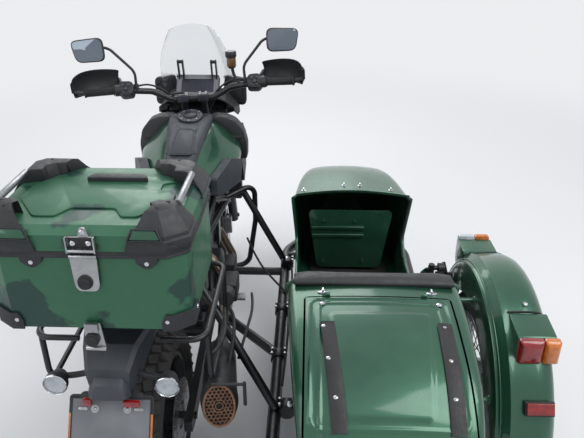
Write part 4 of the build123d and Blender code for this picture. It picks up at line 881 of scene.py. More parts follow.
class OUTFIT_OT_pads(bpy.types.Operator):
    """Builds the padded seats of the sidecar and of the motorcycle"""

    bl_idname = "outfit.pads"
    bl_label = "Seats"

    def execute(self, context):
        seat_x = tub_middle(300)
        cushion = block((seat_x - 206, 122, 474), (seat_x + 206, 552, 548), 22, 3)
        swollen(cushion, 12)
        channels(cushion, [(0, at(seat_x + k * 103, 0, 0).x) for k in (-1, 0, 1)], 5, 7)
        finished(cushion, "sidecar_cushion", "vinyl", "chassis", "tub_seat", smooth=60)
        back = plate([(52, 570), (124, 570), (104, 848), (84, 868), (52, 868)], at(seat_x - 214, 0, 0), Y, Z,
                     428, corner=14, round_edge=14)
        roll = plate([(84, 830), (84, 872), (66, 888), (20, 888), (2, 880), (2, 868), (50, 868), (50, 830)],
                     at(tub_middle(45) - 258, 0, 0), Y, Z, 516, corner=10, round_edge=6)
        back = joined(back, roll)
        swollen(back, 8)
        finished(back, "sidecar_backrest", "vinyl", "chassis", "tub_seat_back", smooth=60)
        rings = []
        for y, half, top, foot in SADDLE_ROWS:
            outline = rounded(four(half, half * 0.9, foot, top), 22)
            rings.append([at(p.x, y, p.y) for p in outline])
        saddle = sheet(rings, closed=True, ends=True)
        feet = [block((side * x - 9, y - 9, low), (side * x + 9, y + 9, 850), 2) for side in (1, -1)
                for x, y, low in ((88, 250, 812), (94, 430, 752))]
        swollen(saddle, 10)
        channels(saddle, [(1, at(0, y, 0).y) for y in (470, 330, 160)], 4, 6)
        finished(saddle, "rider_seat", "vinyl", "chassis", "seat", smooth=60)
        finished(feet, "seat_rests", "rubber")
        return {"FINISHED"}


def lens(wide, tall, face, way, deep):
    """A faceted lamp lens that stands out of a housing's face, towards -y or +y."""
    middle = at((wide[0] + wide[1]) / 2, 0, (tall[0] + tall[1]) / 2)
    half_wide, half_tall = (wide[1] - wide[0]) / 2, (tall[1] - tall[0]) / 2
    rows = []
    for out, shrink in ((0, 0), (deep * 0.55, 0), (deep * 0.85, 0.16), (deep, 0.4)):
        line = rounded(four(half_wide, half_wide, -half_tall, half_tall), 7, 3)
        rows.append([middle + mm(p.x * (1 - shrink), face + way * out, p.y * (1 - shrink)) for p in line])
    piece = sheet(rows, closed=True, ends=True)
    return soften(piece, 1.5)


GUARD_PROFILE = (
    # across from the wheel's middle, distance below the crown
    (-64, 146), (-64, 110), (-64, 78), (-63, 52), (-60, 40), (-57, 36), (-54, 31), (-50, 30), (-46, 27),
    (-40, 21), (-34, 15), (-28, 10), (-23, 5), (-20, 2), (-16, 3), (0, 4), (30, 2), (60, 0.5), (80, 1),
    (98, 6), (112, 14), (123, 26), (129, 42), (132, 60), (133, 90), (133, 150), (133, 216), (136, 222),
    (139, 224),
)


def guard_at(x, below, angle):
    radius = GUARD_RADIUS - below
    return at(WHEEL[0] + x, WHEEL[1] + radius * cos(radians(angle)), WHEEL[2] + radius * sin(radians(angle)))


class OUTFIT_OT_sidecar_guard(bpy.types.Operator):
    """Builds the sidecar's mudguard with its beads, housings, lamps and stays"""

    bl_idname = "outfit.sidecar_guard"
    bl_label = "Sidecar mudguard"

    def execute(self, context):
        steps = 56
        rows = [[guard_at(x, below, GUARD_FRONT + GUARD_SWEEP * k / steps) for x, below in GUARD_PROFILE]
                for k in range(steps + 1)]
        guard = sheet(rows, wall=2.6, offset=1)
        beads = []
        for x, below in ((-56, 34), (-45, 25), (136, 222)):
            line = [guard_at(x, below, GUARD_FRONT + 1 + (GUARD_SWEEP - 2) * k / steps)
                    for k in range(steps + 1)]
            beads.append(pipe(line, 3.2 if x < 0 else 4.5, bend=4))
        stays = [pipe([at(1048, y, 340), at(1048, y, z), at(1133, y, z)], 9, bend=30)
                 for y, z in ((585, 545), (195, 700), (-110, 520))]
        pads = [rod(at(1128, y, z), at(1138, y, z), 16, round_edge=2)
                for y, z in ((585, 545), (195, 700), (-110, 520))]
        rear = plate([(44, 742), (32, 764), (-78, 752), (-82, 745), (-82, 684), (-42, 684)], at(1198, 0, 0),
                     Y, Z, 122, corner=10, round_edge=5)
        front = plate([(474, 692), (484, 732), (594, 731), (598, 724), (598, 636), (560, 610)],
                      at(1152, 0, 0), Y, Z, 132, corner=10, round_edge=6)
        finished([guard, *beads, *stays, *pads, rear, front], "sidecar_guard", "green_paint", "chassis",
                 "sidecar_mudguard")
        rubber = [pipe([guard_at(x, below - 1.5, angle) for x, below in GUARD_PROFILE if low <= x <= high],
                       3.6, bend=4) for angle, low, high in ((113.6, -4, 133), (58.6, -57, 112))]
        finished(rubber, "housing_gaskets", "rubber")
        finished(lens((1199, 1277), (664, 752), -84, -1, 30), "sidecar_tail_lamp", "red_lens")
        finished(lens((1278, 1328), (664, 752), -84, -1, 30), "sidecar_rear_turn", "amber_lens")
        finished(lens((1156, 1222), (642, 742), 597, 1, 38), "sidecar_front_lamp", "white_lens", "chassis",
                 "sidecar_lamps")
        finished(lens((1223, 1280), (642, 742), 597, 1, 38), "sidecar_front_turn", "amber_lens")
        turn = radians(151)
        out, down = Vector((0, cos(turn), sin(turn))), Vector((0, -sin(turn), cos(turn)))
        spot = guard_at(64, -1, 151)
        base = plate(four(46, 46, -26, 20), spot, X, down, -12, corner=4, round_edge=1.5)
        bolt = rod(guard_at(62, 2, 110), guard_at(62, -6, 110), 8, round_edge=1.5)
        finished(base, "reflector_base", "black_plastic")
        finished(bolt, "housing_bolt", "bare_steel")
        finished(plate(four(42, 42, -22, 14), spot + out * 0.010, X, down, -12, corner=3, round_edge=2),
                 "sidecar_reflector", "red_lens")
        hose = pipe([at(1125, 470, 355), at(1118, 500, 470), at(1110, 520, 590), at(1098, 560, 640)], 7,
                    bend=40)
        folds = [rod(at(1117, 500 + k * 2, 560 + k * 9), at(1117, 501 + k * 2, 564 + k * 9), 12)
                 for k in range(7)]
        finished([hose, *folds], "shock_gaiter", "rubber")
        return {"FINISHED"}


def tread(centre, radius, width, rows, count, depth, lean):
    """One tyre's tread: a block for each row, copied all round."""
    blocks = []
    for k, share in enumerate(rows):
        x = share * width / 2
        drop = 0.26 * abs(share) ** 2.4 * width * 0.5
        turn = pi / count * (k % 2)
        calm()
        bpy.ops.mesh.primitive_cube_add(size=1)
        piece = bpy.context.object
        piece.scale = (width * 0.62 / len(rows) / 1000 * 1.25, 2 * pi * radius / count * 0.68 / 1000,
                       depth * 2 / 1000)
        piece.rotation_euler = (0, share * 0.95, lean * (1 if share > 0 else -1 if share < 0 else 0))
        piece.location = (x / 1000, 0, (radius - drop - depth * 0.9) / 1000)
        settle(piece)
        piece.data.transform(Matrix.Translation(at(*centre)) @ Matrix.Rotation(turn, 4, "X"))
        blocks.append(ring_of(piece, count, at(*centre), Vector(X)))
    return joined(blocks)


TYRES = (
    # name, axle's middle, radius, width, bead seat's radius, crown, rows of blocks across, blocks in a row
    ("front", FRONT_AXLE, 325, 118, 241, 26, (-0.72, -0.28, 0.28, 0.72), 44),
    ("rear", REAR_AXLE, 318, 168, 216, 26, (-0.78, -0.4, 0, 0.4, 0.78), 42),
    ("sidecar", WHEEL, 330, 100, 241, 22, (-0.7, -0.25, 0.25, 0.7), 48),
)
BLOCK_LEAN = 0.3


class OUTFIT_OT_wheels(bpy.types.Operator):
    """Builds the three tyres with their tread"""

    bl_idname = "outfit.wheels"
    bl_label = "Tyres"

    def execute(self, context):
        depth = context.scene.outfit_sizes.tread_depth * 1000
        for name, centre, radius, width, seat, crown, rows, count in TYRES:
            bead, half = width * 0.36, width / 2
            outer, wall = radius - depth, (radius + seat) / 2
            profile = [(-bead, seat + 0.5), (-bead, seat + 13), (-half + 3, wall - 18), (-half, wall),
                       (-half + 2, wall + 12), (-half + 6, outer - crown * 0.8),
                       (-half * 0.7, outer - crown * 0.42), (-half * 0.36, outer - crown * 0.12), (0, outer),
                       (half * 0.36, outer - crown * 0.12), (half * 0.7, outer - crown * 0.42),
                       (half - 6, outer - crown * 0.8), (half - 2, wall + 12), (half, wall),
                       (half - 3, wall - 18), (bead, seat + 13), (bead, seat + 0.5)]
            ring = turned([profile[0]] + profile + [profile[-1]], at(*centre), X, 96, ends=False)
            tyre = joined(ring, tread(centre, radius, width, rows, count, depth, BLOCK_LEAN))
            finished(tyre, name + "_tyre_tread", "tyre_rubber", name + "_wheel", name + "_tyre", smooth=40)
        return {"FINISHED"}


# Motorcycle


CORNER_LEVELS = (
    # how far inside the lid's wall, height, lean
    (-7, 1225, 0), (-10, 1238, 3), (-10, 1254, 9), (-5, 1257, 11), (-5, 1267, 17), (3, 1280, 26),
    (10, 1290, 34), (26, 1316, 48), (40, 1321, 58), (68, 1321, 66), (74, 1285, 70),
)
RIVET = ((0, 6), (2, 5.4), (3, 0))


class OUTFIT_OT_case(bpy.types.Operator):
    """Builds the top case's corner guards, rails, pressings, catch, latches and rivets"""

    bl_idname = "outfit.case"
    bl_label = "Top case"

    def execute(self, context):
        half, rear, front, floor, rim, top = (CASE[key] for key in ("half", "rear", "front", "floor", "rim",
                                                                    "top"))
        self.corners(half, rear, front)
        tabs, rivets = [], []
        for x in (-123, 156):
            tabs.append(plate([(-27, 0), (27, 0), (27, -14), (15, -24), (6, -30), (-6, -30), (-15, -24),
                               (-27, -14)], at(x, rear - 2.5, rim + 2), X, Z, 4, corner=5))
            rivets.append(turned(RIVET, at(x, rear - 6.5, rim - 13), BACK, 16))
        tabs.append(pipe([at(side * x, y, rim + 3)
                          for side, x, y in ((-1, half + 2, front - 20), (-1, half + 2, rear + 31),
                                             (-1, half - 45, rear - 2), (1, half - 45, rear - 2),
                                             (1, half + 2, rear + 31), (1, half + 2, front - 20))], 5,
                                             bend=4))
        for side in (1, -1):
            line = ((half - 72, rear - 4, 22), (half - 62, rear - 4, 44), (half - 43, rear - 4, 44),
                    (half + 4, rear + 29, 46), (half + 4, rear + 78, 42), (half + 4, rear + 92, 22))
            rows = [[at(side * x, y, floor - 3 + (high + 3) * k / 3) for x, y, high in line]
                    for k in range(4)]
            tabs.append(sheet(rows, wall=4, offset=0))
            rivets.append(turned(RIVET, at(side * (half - 58), rear - 6, floor + 26), BACK, 16))
            rivets.append(turned(RIVET, at(side * (half + 6), rear + 66, floor + 26), (side, 0, 0), 16))
        finished(edit(joined(tabs), outward), "case_corner_guards", "textured_plastic", slot="black_plastic")
        finished(rivets, "case_rivets", "chrome")
        shape = [(-196, -170), (-196, -250), (-128, -346), (-74, -346), (-48, -300), (62, -300), (88, -346),
                 (128, -346), (196, -250), (196, -210), (150, -190), (150, -150), (196, -130), (150, -96),
                 (60, -70), (-60, -70), (-150, -96)]
        raised = plate(shape, at(0, 0, top - 1), X, Y, 6, corner=9, round_edge=3.5)
        finished(raised, "lid_pressings", "camo_paint", "case_lid")
        x = 6
        upper = [plate([(-33, 0), (33, 0), (30, -84), (22, -98), (-22, -98), (-30, -84)],
                       at(x, rear - 6, 1215), X, Z, 5, corner=9),
                       rod(at(x - 33, rear - 10, 1214), at(x + 33, rear - 10, 1214), 5, round_edge=1)]
        lower = [plate([(-21, 42), (21, 42), (28, -36), (-24, -36)], at(0, rear - 6, 980), X, Z, 6, corner=5),
                 plate(four(16, 16, 44, 18), at(0, rear - 12, 980), X, Z, 8, corner=3),
                 rod(at(-24, rear - 12, 946), at(28, rear - 12, 944), 6, round_edge=1)]
        finished(upper + lower, "case_hasps", "bare_steel", "chassis", "case_latches")
        catch = [plate(four(14, 7, 0, 26), at(x + 8, rear - 4, 1264), X, Z, 4, corner=5),
                 plate(four(33, 33, 0, 40), at(x, rear - 4, 1227), X, Z, 4, corner=3)]
        catch += [plate(four(2, 2, 0, 42), at(x + side * 33, rear - 4, 1226), X, Z, 14) for side in (1, -1)]
        catch.append(rod(at(x - 33, rear - 14, 1231), at(x + 33, rear - 14, 1231), 4, round_edge=1))
        finished(catch, "lid_catch", "bare_steel", "case_lid")
        finished(block((x - 29, rear - 10, 1236), (x + 29, rear - 6, 1264), 1.5), "lid_catch_pad", "rubber",
                 "case_lid")
        heads = [turned([(0, 7), (2.5, 7), (4, 5), (4, 0)], at(x + dx, rear - 9, z), BACK, 16)
                 for dx, z in ((-19, 1250), (19, 1250), (8, 1279))]
        finished(heads, "lid_catch_bolts", "chrome", "case_lid")
        knobs = [turned([(0, 19), (5, 19), (7, 15), (13, 15), (15, 13), (15, 0)], at(x - 3, rear - 10, 1144),
                        BACK), turned([(0, 19), (7, 19), (9, 15), (14, 15), (16, 12), (16, 0)],
                                      at(-4, rear - 12, 975), BACK),
                                      block((x - 21, rear - 18, 1141), (x + 15, rear - 10, 1147), 2),
                                      block((-7, rear - 20, 956), (-1, rear - 10, 994), 2)]
        finished(knobs, "latch_knobs", "rubber")
        return {"FINISHED"}

    def corners(self, half, rear, front):
        """The lid's four stepped corner guards, with their grip slots, and the metal rails between them."""
        shells, slots, lips = [], [], []
        for side in (1, -1):
            for wall, way, cut_back, reach, deep in ((rear, 1, 46, 108, 112), (front, -1, 22, 66, 150)):
                rows = []
                for inset, z, lean in CORNER_LEVELS if way > 0 else CORNER_LEVELS[2:]:
                    start, low = reach + lean, min(z, 1284)
                    skin = -4 + (z - 1224) / 21 if z < 1266 else min(-2 + (z - 1266) * 0.9, inset)
                    corner_cut = cut_back - 0.4 * inset if way > 0 else cut_back
                    drop = corner_cut * 0.7 if way > 0 else corner_cut
                    line = ((start, wall + way * skin, low), (start, wall + way * inset, z),
                            ((start + half - cut_back) / 2, wall + way * inset, z),
                            (half - inset - corner_cut, wall + way * inset, z),
                            (half - inset, wall + way * (inset + drop), z),
                            (half - inset, wall + way * (deep - 22 - lean * 0.3), z),
                            (half - inset, wall + way * (deep - lean * 0.5), z),
                            (half - skin, wall + way * (deep - lean * 0.5), low))
                    rows.append([at(side * x, y, z) for x, y, z in line])
                shells.append(sheet(rows, wall=4, offset=0))
                if way > 0:
                    slope, up = Vector((0, -26, 9)).normalized(), Vector((0, 9, 26)).normalized()
                    spot = at(side * 157, rear - 1.5, 1269)
                    hole = four(36, 25, -11, 11)
                    slots.append(plate(hole, spot + slope * 0.0025, X, up, 2.2, corner=4, round_edge=0.6))
                    lips.append(pipe([spot + slope * 0.005 + mm(x, 0, 0) + up * (z / 1000)
                                      for x, z in four(41, 29, -14, 14)], 3.2, closed=True))
                    lips.append(plate(four(62, 56, -3, 3), at(side * 172, rear - 9.5, 1246), X, Z, 3,
                                      corner=2))
        bar = plate(four(84, 70, -16, 14), at(24, -126, CASE["top"] - 1), X, Y, 18, corner=6, round_edge=4)
        guards = joined(shells, lips, bar)
        edit(guards, outward)
        soften(guards, 1.6, 2, 25)
        finished(guards, "lid_corner_guards", "black_plastic", "case_lid", "lid_guards", smooth=30)
        finished(slots, "lid_grip_slots", "green_paint", "case_lid")
        rails = [rod(at(side * 224, rear + 84, 1313), at(side * 224, front - 116, 1313), 9, vertices=20,
                     round_edge=1) for side in (1, -1)]
        finished(rails, "lid_rails", "alloy", "case_lid")


TANK_ROWS = (
    # y, half width at top, at middle, at foot, top, middle, foot
    (1108, 104, 188, 130, 1076, 985, 900),
    (1070, 108, 226, 150, 1080, 964, 862),
    (1030, 108, 246, 165, 1082, 945, 830),
    (960, 102, 240, 162, 1066, 936, 828),
    (880, 90, 212, 150, 1044, 930, 838),
    (810, 82, 176, 136, 1020, 925, 846),
    (740, 74, 140, 120, 994, 920, 852),
    (690, 70, 118, 108, 975, 915, 858),
    (640, 66, 103, 98, 956, 910, 864),
)


CONSOLE_ROWS = (
    # at the tank's rows: half width, rise above the tank's top
    (90, 16), (96, 18), (97, 19), (92, 21), (79, 21), (72, 21), (65, 21), (61, 21), (57, 19),
)


class OUTFIT_OT_tank(bpy.types.Operator):
    """Builds the tank's skin and scoops, the console and the fuel cap"""

    bl_idname = "outfit.tank"
    bl_label = "Tank"

    def execute(self, context):
        rings = []
        for y, high, wide, low, top, middle, foot in TANK_ROWS:
            outline = [(-low, foot), (low, foot), (wide, middle), (high, top), (-high, top), (-wide, middle)]
            rings.append([at(p.x, y, p.y) for p in rounded(outline, 46, 6)])
        skin = sheet(rings, closed=True, ends=True)
        modify(skin, "SUBSURF", levels=1, render_levels=1)
        finished(skin, "tank_skin", "green_paint", "chassis", "tank", smooth=50)
        rows = []
        for (y, _, _, _, top, _, _), (half, rise) in zip(TANK_ROWS, CONSOLE_ROWS):
            section = [(-half, -2), (-half + 2, rise * 0.7), (-half + 12, rise), (-half * 0.55, rise + 1),
                       (-half * 0.5, rise - 3), (-half * 0.2, rise - 2), (0, rise - 1),
                       (half * 0.2, rise - 2), (half * 0.5, rise - 3), (half * 0.55, rise + 1),
                       (half - 12, rise), (half - 2, rise * 0.7), (half, -2)]
            rows.append([at(x, y, top + z) for x, z in section])
        cover = sheet(rows, wall=3)
        modify(cover, "SUBSURF", levels=1, render_levels=1)
        along = Vector((0, 0.952, 0.307))
        recess = plate(four(52, 42, -94, 94), at(0, 838, 1052), X, along, 4, corner=20, round_edge=1.5)
        seam = pipe([at(0, 838, 1056) + mm(x, 0, 0) + along * (y / 1000)
                     for x, y in rounded_pairs(four(44, 34, -84, 84), 16)], 1.8, closed=True)
        finished([cover, recess, seam], "console_cover", "grey_plastic", smooth=40)
        scoops = []
        for side in (1, -1):
            outline = [(74, 1072), (88, 1096), (150, 1094), (196, 1076), (234, 1030), (250, 965), (248, 890),
                       (196, 900), (160, 990), (100, 1040)]
            outline = [(x * side, z) for x, z in outline][::-side]
            scoops.append(plate(outline, at(0, 1124, 0), X, Z, 72, corner=16, round_edge=6))
        finished(scoops, "tank_scoops", "black_plastic")
        centre, up = at(0, 1030, 1098), Vector((0, -0.2, 0.98)).normalized()
        ring = turned([(0, 57), (9, 57), (12, 54), (12, 42), (10, 40), (10, 0)], centre, up, 48)
        handle = turned([(10, 31), (16, 30), (18, 27), (18, 0)], centre, up, 40)
        bolts = ring_of(turned([(11, 3.6), (14, 3.6), (15, 2.4), (15, 0)], centre + mm(48, 0, 0), up, 12), 8,
                        centre, up)
        finished([ring, handle], "fuel_cap", "cap_grey")
        finished(bolts, "fuel_cap_bolts", "bare_steel")
        screws = [turned([(0, 5), (2, 5), (3, 3.5), (3, 0)], at(side * x, y, z), (0, -0.3, 1), 14)
                  for side in (1, -1) for x, y, z in ((84, 1076, 1096), (60, 770, 1026), (50, 660, 982))]
        finished(screws, "console_screws", "frame_black")
        return {"FINISHED"}


def grip_frame(side):
    """The outer end of one grip and the direction to its inner end."""
    outer = at(side * BAR["reach"], BAR["y"], BAR["z"])
    inner = at(side * BAR["inner"], BAR["inner_y"], BAR["inner_z"])
    return outer, (inner - outer).normalized()


class OUTFIT_OT_controls(bpy.types.Operator):
    """Builds grips, switches, levers, reservoir, mirrors and handguards"""

    bl_idname = "outfit.controls"
    bl_label = "Handlebar controls"

    def execute(self, context):
        rib = context.scene.outfit_sizes.grip_rib * 1000
        grips, housings, levers, keys = [], [], [], []
        for side in (1, -1):
            outer, run = grip_frame(side)
            profile = [(-6, 0), (-6, 17), (-3, 20), (2, 20), (3, 17)]
            for k in range(26):
                profile += [(5 + k * 4.3, 16), (6.5 + k * 4.3, 16 + rib), (8 + k * 4.3, 16 + rib),
                            (9 + k * 4.3, 16)]
            profile += [(118, 16), (119, 22), (123, 23), (125, 0)]
            grips.append(turned(profile, outer, run, 28))
            up = Vector((0, -0.25, 0.97)).normalized()
            housings.append(turned([(124, 0), (124, 22), (128, 25), (160, 25), (166, 20), (176, 17),
                                    (176, 0)], outer, run, 28))
            face = Vector((0, -0.78, 0.62))
            tall = Vector((0, 0.62, 0.78))
            spot = at(side * 286, 1072, 1228)
            pod = [(-30, -30), (20, -34), (36, -14), (34, 22), (18, 36), (-26, 34), (-38, 8)]
            housings.append(plate([(x * side, z) for x, z in pod][::side], spot - face * 0.030, X, tall, 56,
                                  corner=12, round_edge=7))
            for dx, dz, r, rise in ((-14, 14, 8, 5), (10, 14, 7, 6), (-2, -4, 9, 7), (-16, -18, 5, 4),
                                    (8, -20, 6, 5), (24, 2, 5, 4)):
                foot = spot + mm(side * dx, 0, 0) + tall * (dz / 1000) + face * 0.024
                keys.append(rod(foot, foot + face * (rise / 1000 + 0.003), r, round_edge=1.5))
            root = outer + run * 0.150 + mm(0, 44, 2)
            tip = outer + run * 0.004 + mm(0, 60, -6)
            levers.append(pipe([root, outer + run * 0.112 + mm(0, 78, 0), outer + run * 0.07 + mm(0, 76, -4),
                                tip], 5.5, bend=30))
            levers.append(turned([(-6, 0), (-5, 6), (0, 8), (5, 6), (6, 0)], tip, run, 16))
            housings.append(plate([(-20, 10), (22, 10), (22, 56), (-12, 56)],
                                  outer + run * 0.150 - up * 0.008, run * side, Y, 16 * side, corner=6,
                                  round_edge=3))
        finished(grips, "ribbed_grips", "rubber", "steering")
        finished(housings, "switch_housings", "black_plastic", "steering", "bar_controls")
        finished(levers, "levers", "frame_black", "steering")
        finished(keys, "switch_keys", "grey_plastic", "steering")
        cup = at(188, 1104, 1300)
        finished(turned([(0, 0), (0, 19), (3, 21), (40, 21), (42, 19), (42, 0)], cup, Z), "brake_reservoir",
                 "amber_fluid", "steering")
        cap = [turned([(42, 0), (42, 24), (46, 25), (62, 25), (68, 22), (70, 0)], cup, Z),
               turned([(-8, 0), (-8, 14), (0, 20), (4, 20), (4, 0)], cup, Z),
               pipe([cup, cup + mm(6, 0, -40), at(216, 1094, 1226)], 7, bend=12),
               pipe([at(-92, 1120, 1172), at(-92, 1112, 1190), at(-40, 1118, 1192)], 5, bend=8)]
        finished(cap, "reservoir_cap", "frame_black", "steering")
        cables = []
        for side in (1, -1):
            cables.append(pipe([at(side * 268, 1082, 1232), at(side * 214, 1092, 1250),
                                at(side * 150, 1106, 1228), at(side * 92, 1130, 1172),
                                at(side * 60, 1152, 1112), at(side * 48, 1172, 1066)], 4.2, smooth=True))
            cables.append(pipe([at(side * 280, 1078, 1222), at(side * 206, 1100, 1216),
                                at(side * 130, 1122, 1178), at(side * 82, 1142, 1130),
                                at(side * 56, 1160, 1076)], 3.4, smooth=True))
        finished(cables, "bar_cables", "rubber", "steering")
        clamp = [block((side * 45 - 24, 1098, 1146), (side * 45 + 24, 1140, 1182), 6, 3) for side in (1, -1)]
        bolts = [rod(at(side * 45 + dx, y, 1178), at(side * 45 + dx, y, 1187), 5, round_edge=1)
                 for side in (1, -1) for dx in (-14, 14) for y in (1106, 1132)]
        finished(clamp, "bar_clamps", "cap_grey", "steering")
        finished(bolts, "bar_clamp_bolts", "bare_steel", "steering")
        self.mirrors()
        self.guards()
        return {"FINISHED"}

    def mirrors(self):
        frames, glasses, shells = [], [], []
        for side in (1, -1):
            across = Vector((1, 0.1 * side, 0)).normalized()
            normal = Vector((0.1 * side, -0.98, 0.12)).normalized()
            up = normal.cross(across).normalized()
            centre = at(side * 416, 1058, 1416)
            outline = [(-70 * side, -50), (58 * side, -54), (78 * side, 40), (-66 * side, 52)][::side]
            shells.append(plate(outline, centre - normal * 0.004, across, up, 13, corner=30, round_edge=4))
            small = [(x * 0.93, y * 0.9) for x, y in outline]
            frames.append(plate([(x * 0.8, y * 0.76) for x, y in outline], centre - normal * 0.014, across,
                                up, 13, corner=20, round_edge=5))
            glasses.append(plate(small, centre + normal * 0.0088, across, up, 1.4, corner=27, round_edge=0.4))
            frames.append(pipe([at(side * 244, 1082, 1222), at(side * 240, 1082, 1306),
                                at(side * 336, 1074, 1418), at(side * 384, 1070, 1422)], 6, bend=24))
            frames.append(rod(at(side * 244, 1082, 1214), at(side * 243, 1082, 1252), 11, round_edge=2))
            frames.append(turned([(-14, 0), (-12, 8), (0, 12), (12, 8), (14, 0)], at(side * 386, 1070, 1422),
                                 X, 18))
        finished(shells + frames, "mirror_shells", "black_plastic", "steering", "mirrors")
        finished(glasses, "mirror_glasses", "mirror_glass", "steering")

    def guards(self):
        shells, ends = [], []
        for side in (1, -1):
            rows = []
            line = ((503, 998, 40), (502, 1040, 47), (488, 1086, 52), (458, 1124, 53), (410, 1148, 50),
                    (362, 1158, 44), (330, 1160, 38))
            for x, y, half in line:
                rows.append([at(side * (x - 10 * (k / 4) ** 2), y - 12 * (k / 4) ** 2,
                                BAR["z"] + 30 + half * k / 4) for k in range(-4, 5)])
            shell = sheet(rows, wall=4, offset=0)
            modify(shell, "SUBSURF", levels=1, render_levels=1)
            shells.append(shell)
            strip = sheet([[at(side * (x + 4), y, BAR["z"] + 30 + half * 0.55 * k / 4) for k in range(-4, 5)]
                           for x, y, half in line[:4]], wall=4, offset=0)
            modify(strip, "SUBSURF", levels=1, render_levels=1)
            ends.append(strip)
            shells.append(rod(at(side * 454, 1030, BAR["z"]), at(side * 502, 1016, BAR["z"] + 10), 11,
                              round_edge=2))
            shells.append(rod(at(side * 330, 1156, BAR["z"] + 24), at(side * 300, 1074, BAR["z"] + 4), 9,
                              round_edge=2))
        finished(edit(joined(shells), outward), "hand_shells", "black_plastic", "steering", "handguards")
        finished(ends, "hand_shell_trims", "grey_plastic", "steering")


class OUTFIT_OT_front(bpy.types.Operator):
    """Builds the display, the screen posts, the fairing's wings and screws, and the headlamp's bezel"""

    bl_idname = "outfit.front"
    bl_label = "Front"

    def execute(self, context):
        up = Vector((0, 0.69, 0.72))
        normal = Vector((0, -0.72, 0.69))
        centre = at(0, 1262, 1182)
        finished(plate(four(80, 80, -38, 38), centre - normal * 0.0016, X, up, 1.2, corner=6, round_edge=0.3),
                 "display_glass", "screen", slot="display_dark")
        bezel_plate = plate(four(100, 100, -57, 57), centre - normal * 0.001, X, up, 2.6, corner=16,
                            round_edge=1)
        window = plate(four(77, 77, -35, 35), centre - normal * 0.01, X, up, 30, corner=8, round_edge=0)
        finished(cut(bezel_plate, window), "display_bezel", "plate_grey")
        buttons = [turned([(0, 5), (2.4, 5), (3, 3.5), (3, 0)], centre + mm(x, 0, 0) + up * -0.0535, normal,
                          14) for x in (-70, -50, 50, 70)]
        finished(buttons, "display_buttons", "frame_black")
        posts = []
        for side in (1, -1):
            for x in (68, 90):
                posts.append(plate([(1296, 1150), (1330, 1150), (1290, 1298), (1274, 1304), (1264, 1296)],
                                   at(side * x - 3, 0, 0), Y, Z, 6, corner=7, round_edge=1.5))
            posts.append(rod(at(side * 79 - 15, 1276, 1292), at(side * 79 + 15, 1276, 1292), 8,
                             round_edge=1.5))
            posts.append(block((side * 79 - 14, 1296, 1150), (side * 79 + 14, 1326, 1172), 3))
        finished(posts, "screen_posts", "frame_black")
        wings = []
        for side in (1, -1):
            outline = [(114, 1160), (122, 1206), (134, 1214), (214, 1200), (224, 1188), (224, 1082),
                       (212, 1066), (128, 1072)]
            wings.append(plate([(x * side, z) for x, z in outline][::side], at(0, 1362, 0), X, Z, 26,
                               corner=14, round_edge=5))
            wings.append(block((side * 170 - 34, 1356, 1080), (side * 170 + 34, 1400, 1130), 6))
            line = rounded_pairs([(136, 1092), (210, 1084), (210, 1180), (140, 1194)], 12)
            wings.append(pipe([at(side * x, 1334, z) for x, z in line], 2.4, closed=True))
        finished(edit(joined(wings), outward), "fairing_wings", "black_plastic")
        screws = []
        for x, y, z in ((-118, 1392, 1196), (118, 1392, 1196), (-150, 1408, 1164), (150, 1408, 1164)):
            screws.append(turned([(-6, 0), (-6, 8), (2, 8), (4, 6), (5, 0)], at(x, y, z), (0, 0.8, 0.6), 16))
        finished(screws, "screen_screws", "rubber")
        ribs = [block((-58 + k * 29 - 1.5, 1524, 982), (-58 + k * 29 + 1.5, 1528, 1042), 0.8)
                for k in range(5)]
        bezel = sheet([[at(p.x * s, y, 1012 + p.y * s) for p in rounded(four(64, 64, -36, 36), 20)]
                       for s, y in ((1.1, 1516), (1.12, 1528), (1.0, 1530), (0.98, 1522))], closed=True)
        finished(bezel, "headlamp_bezel", "black_plastic")
        finished(ribs, "headlamp_ribs", "white_lens")
        return {"FINISHED"}


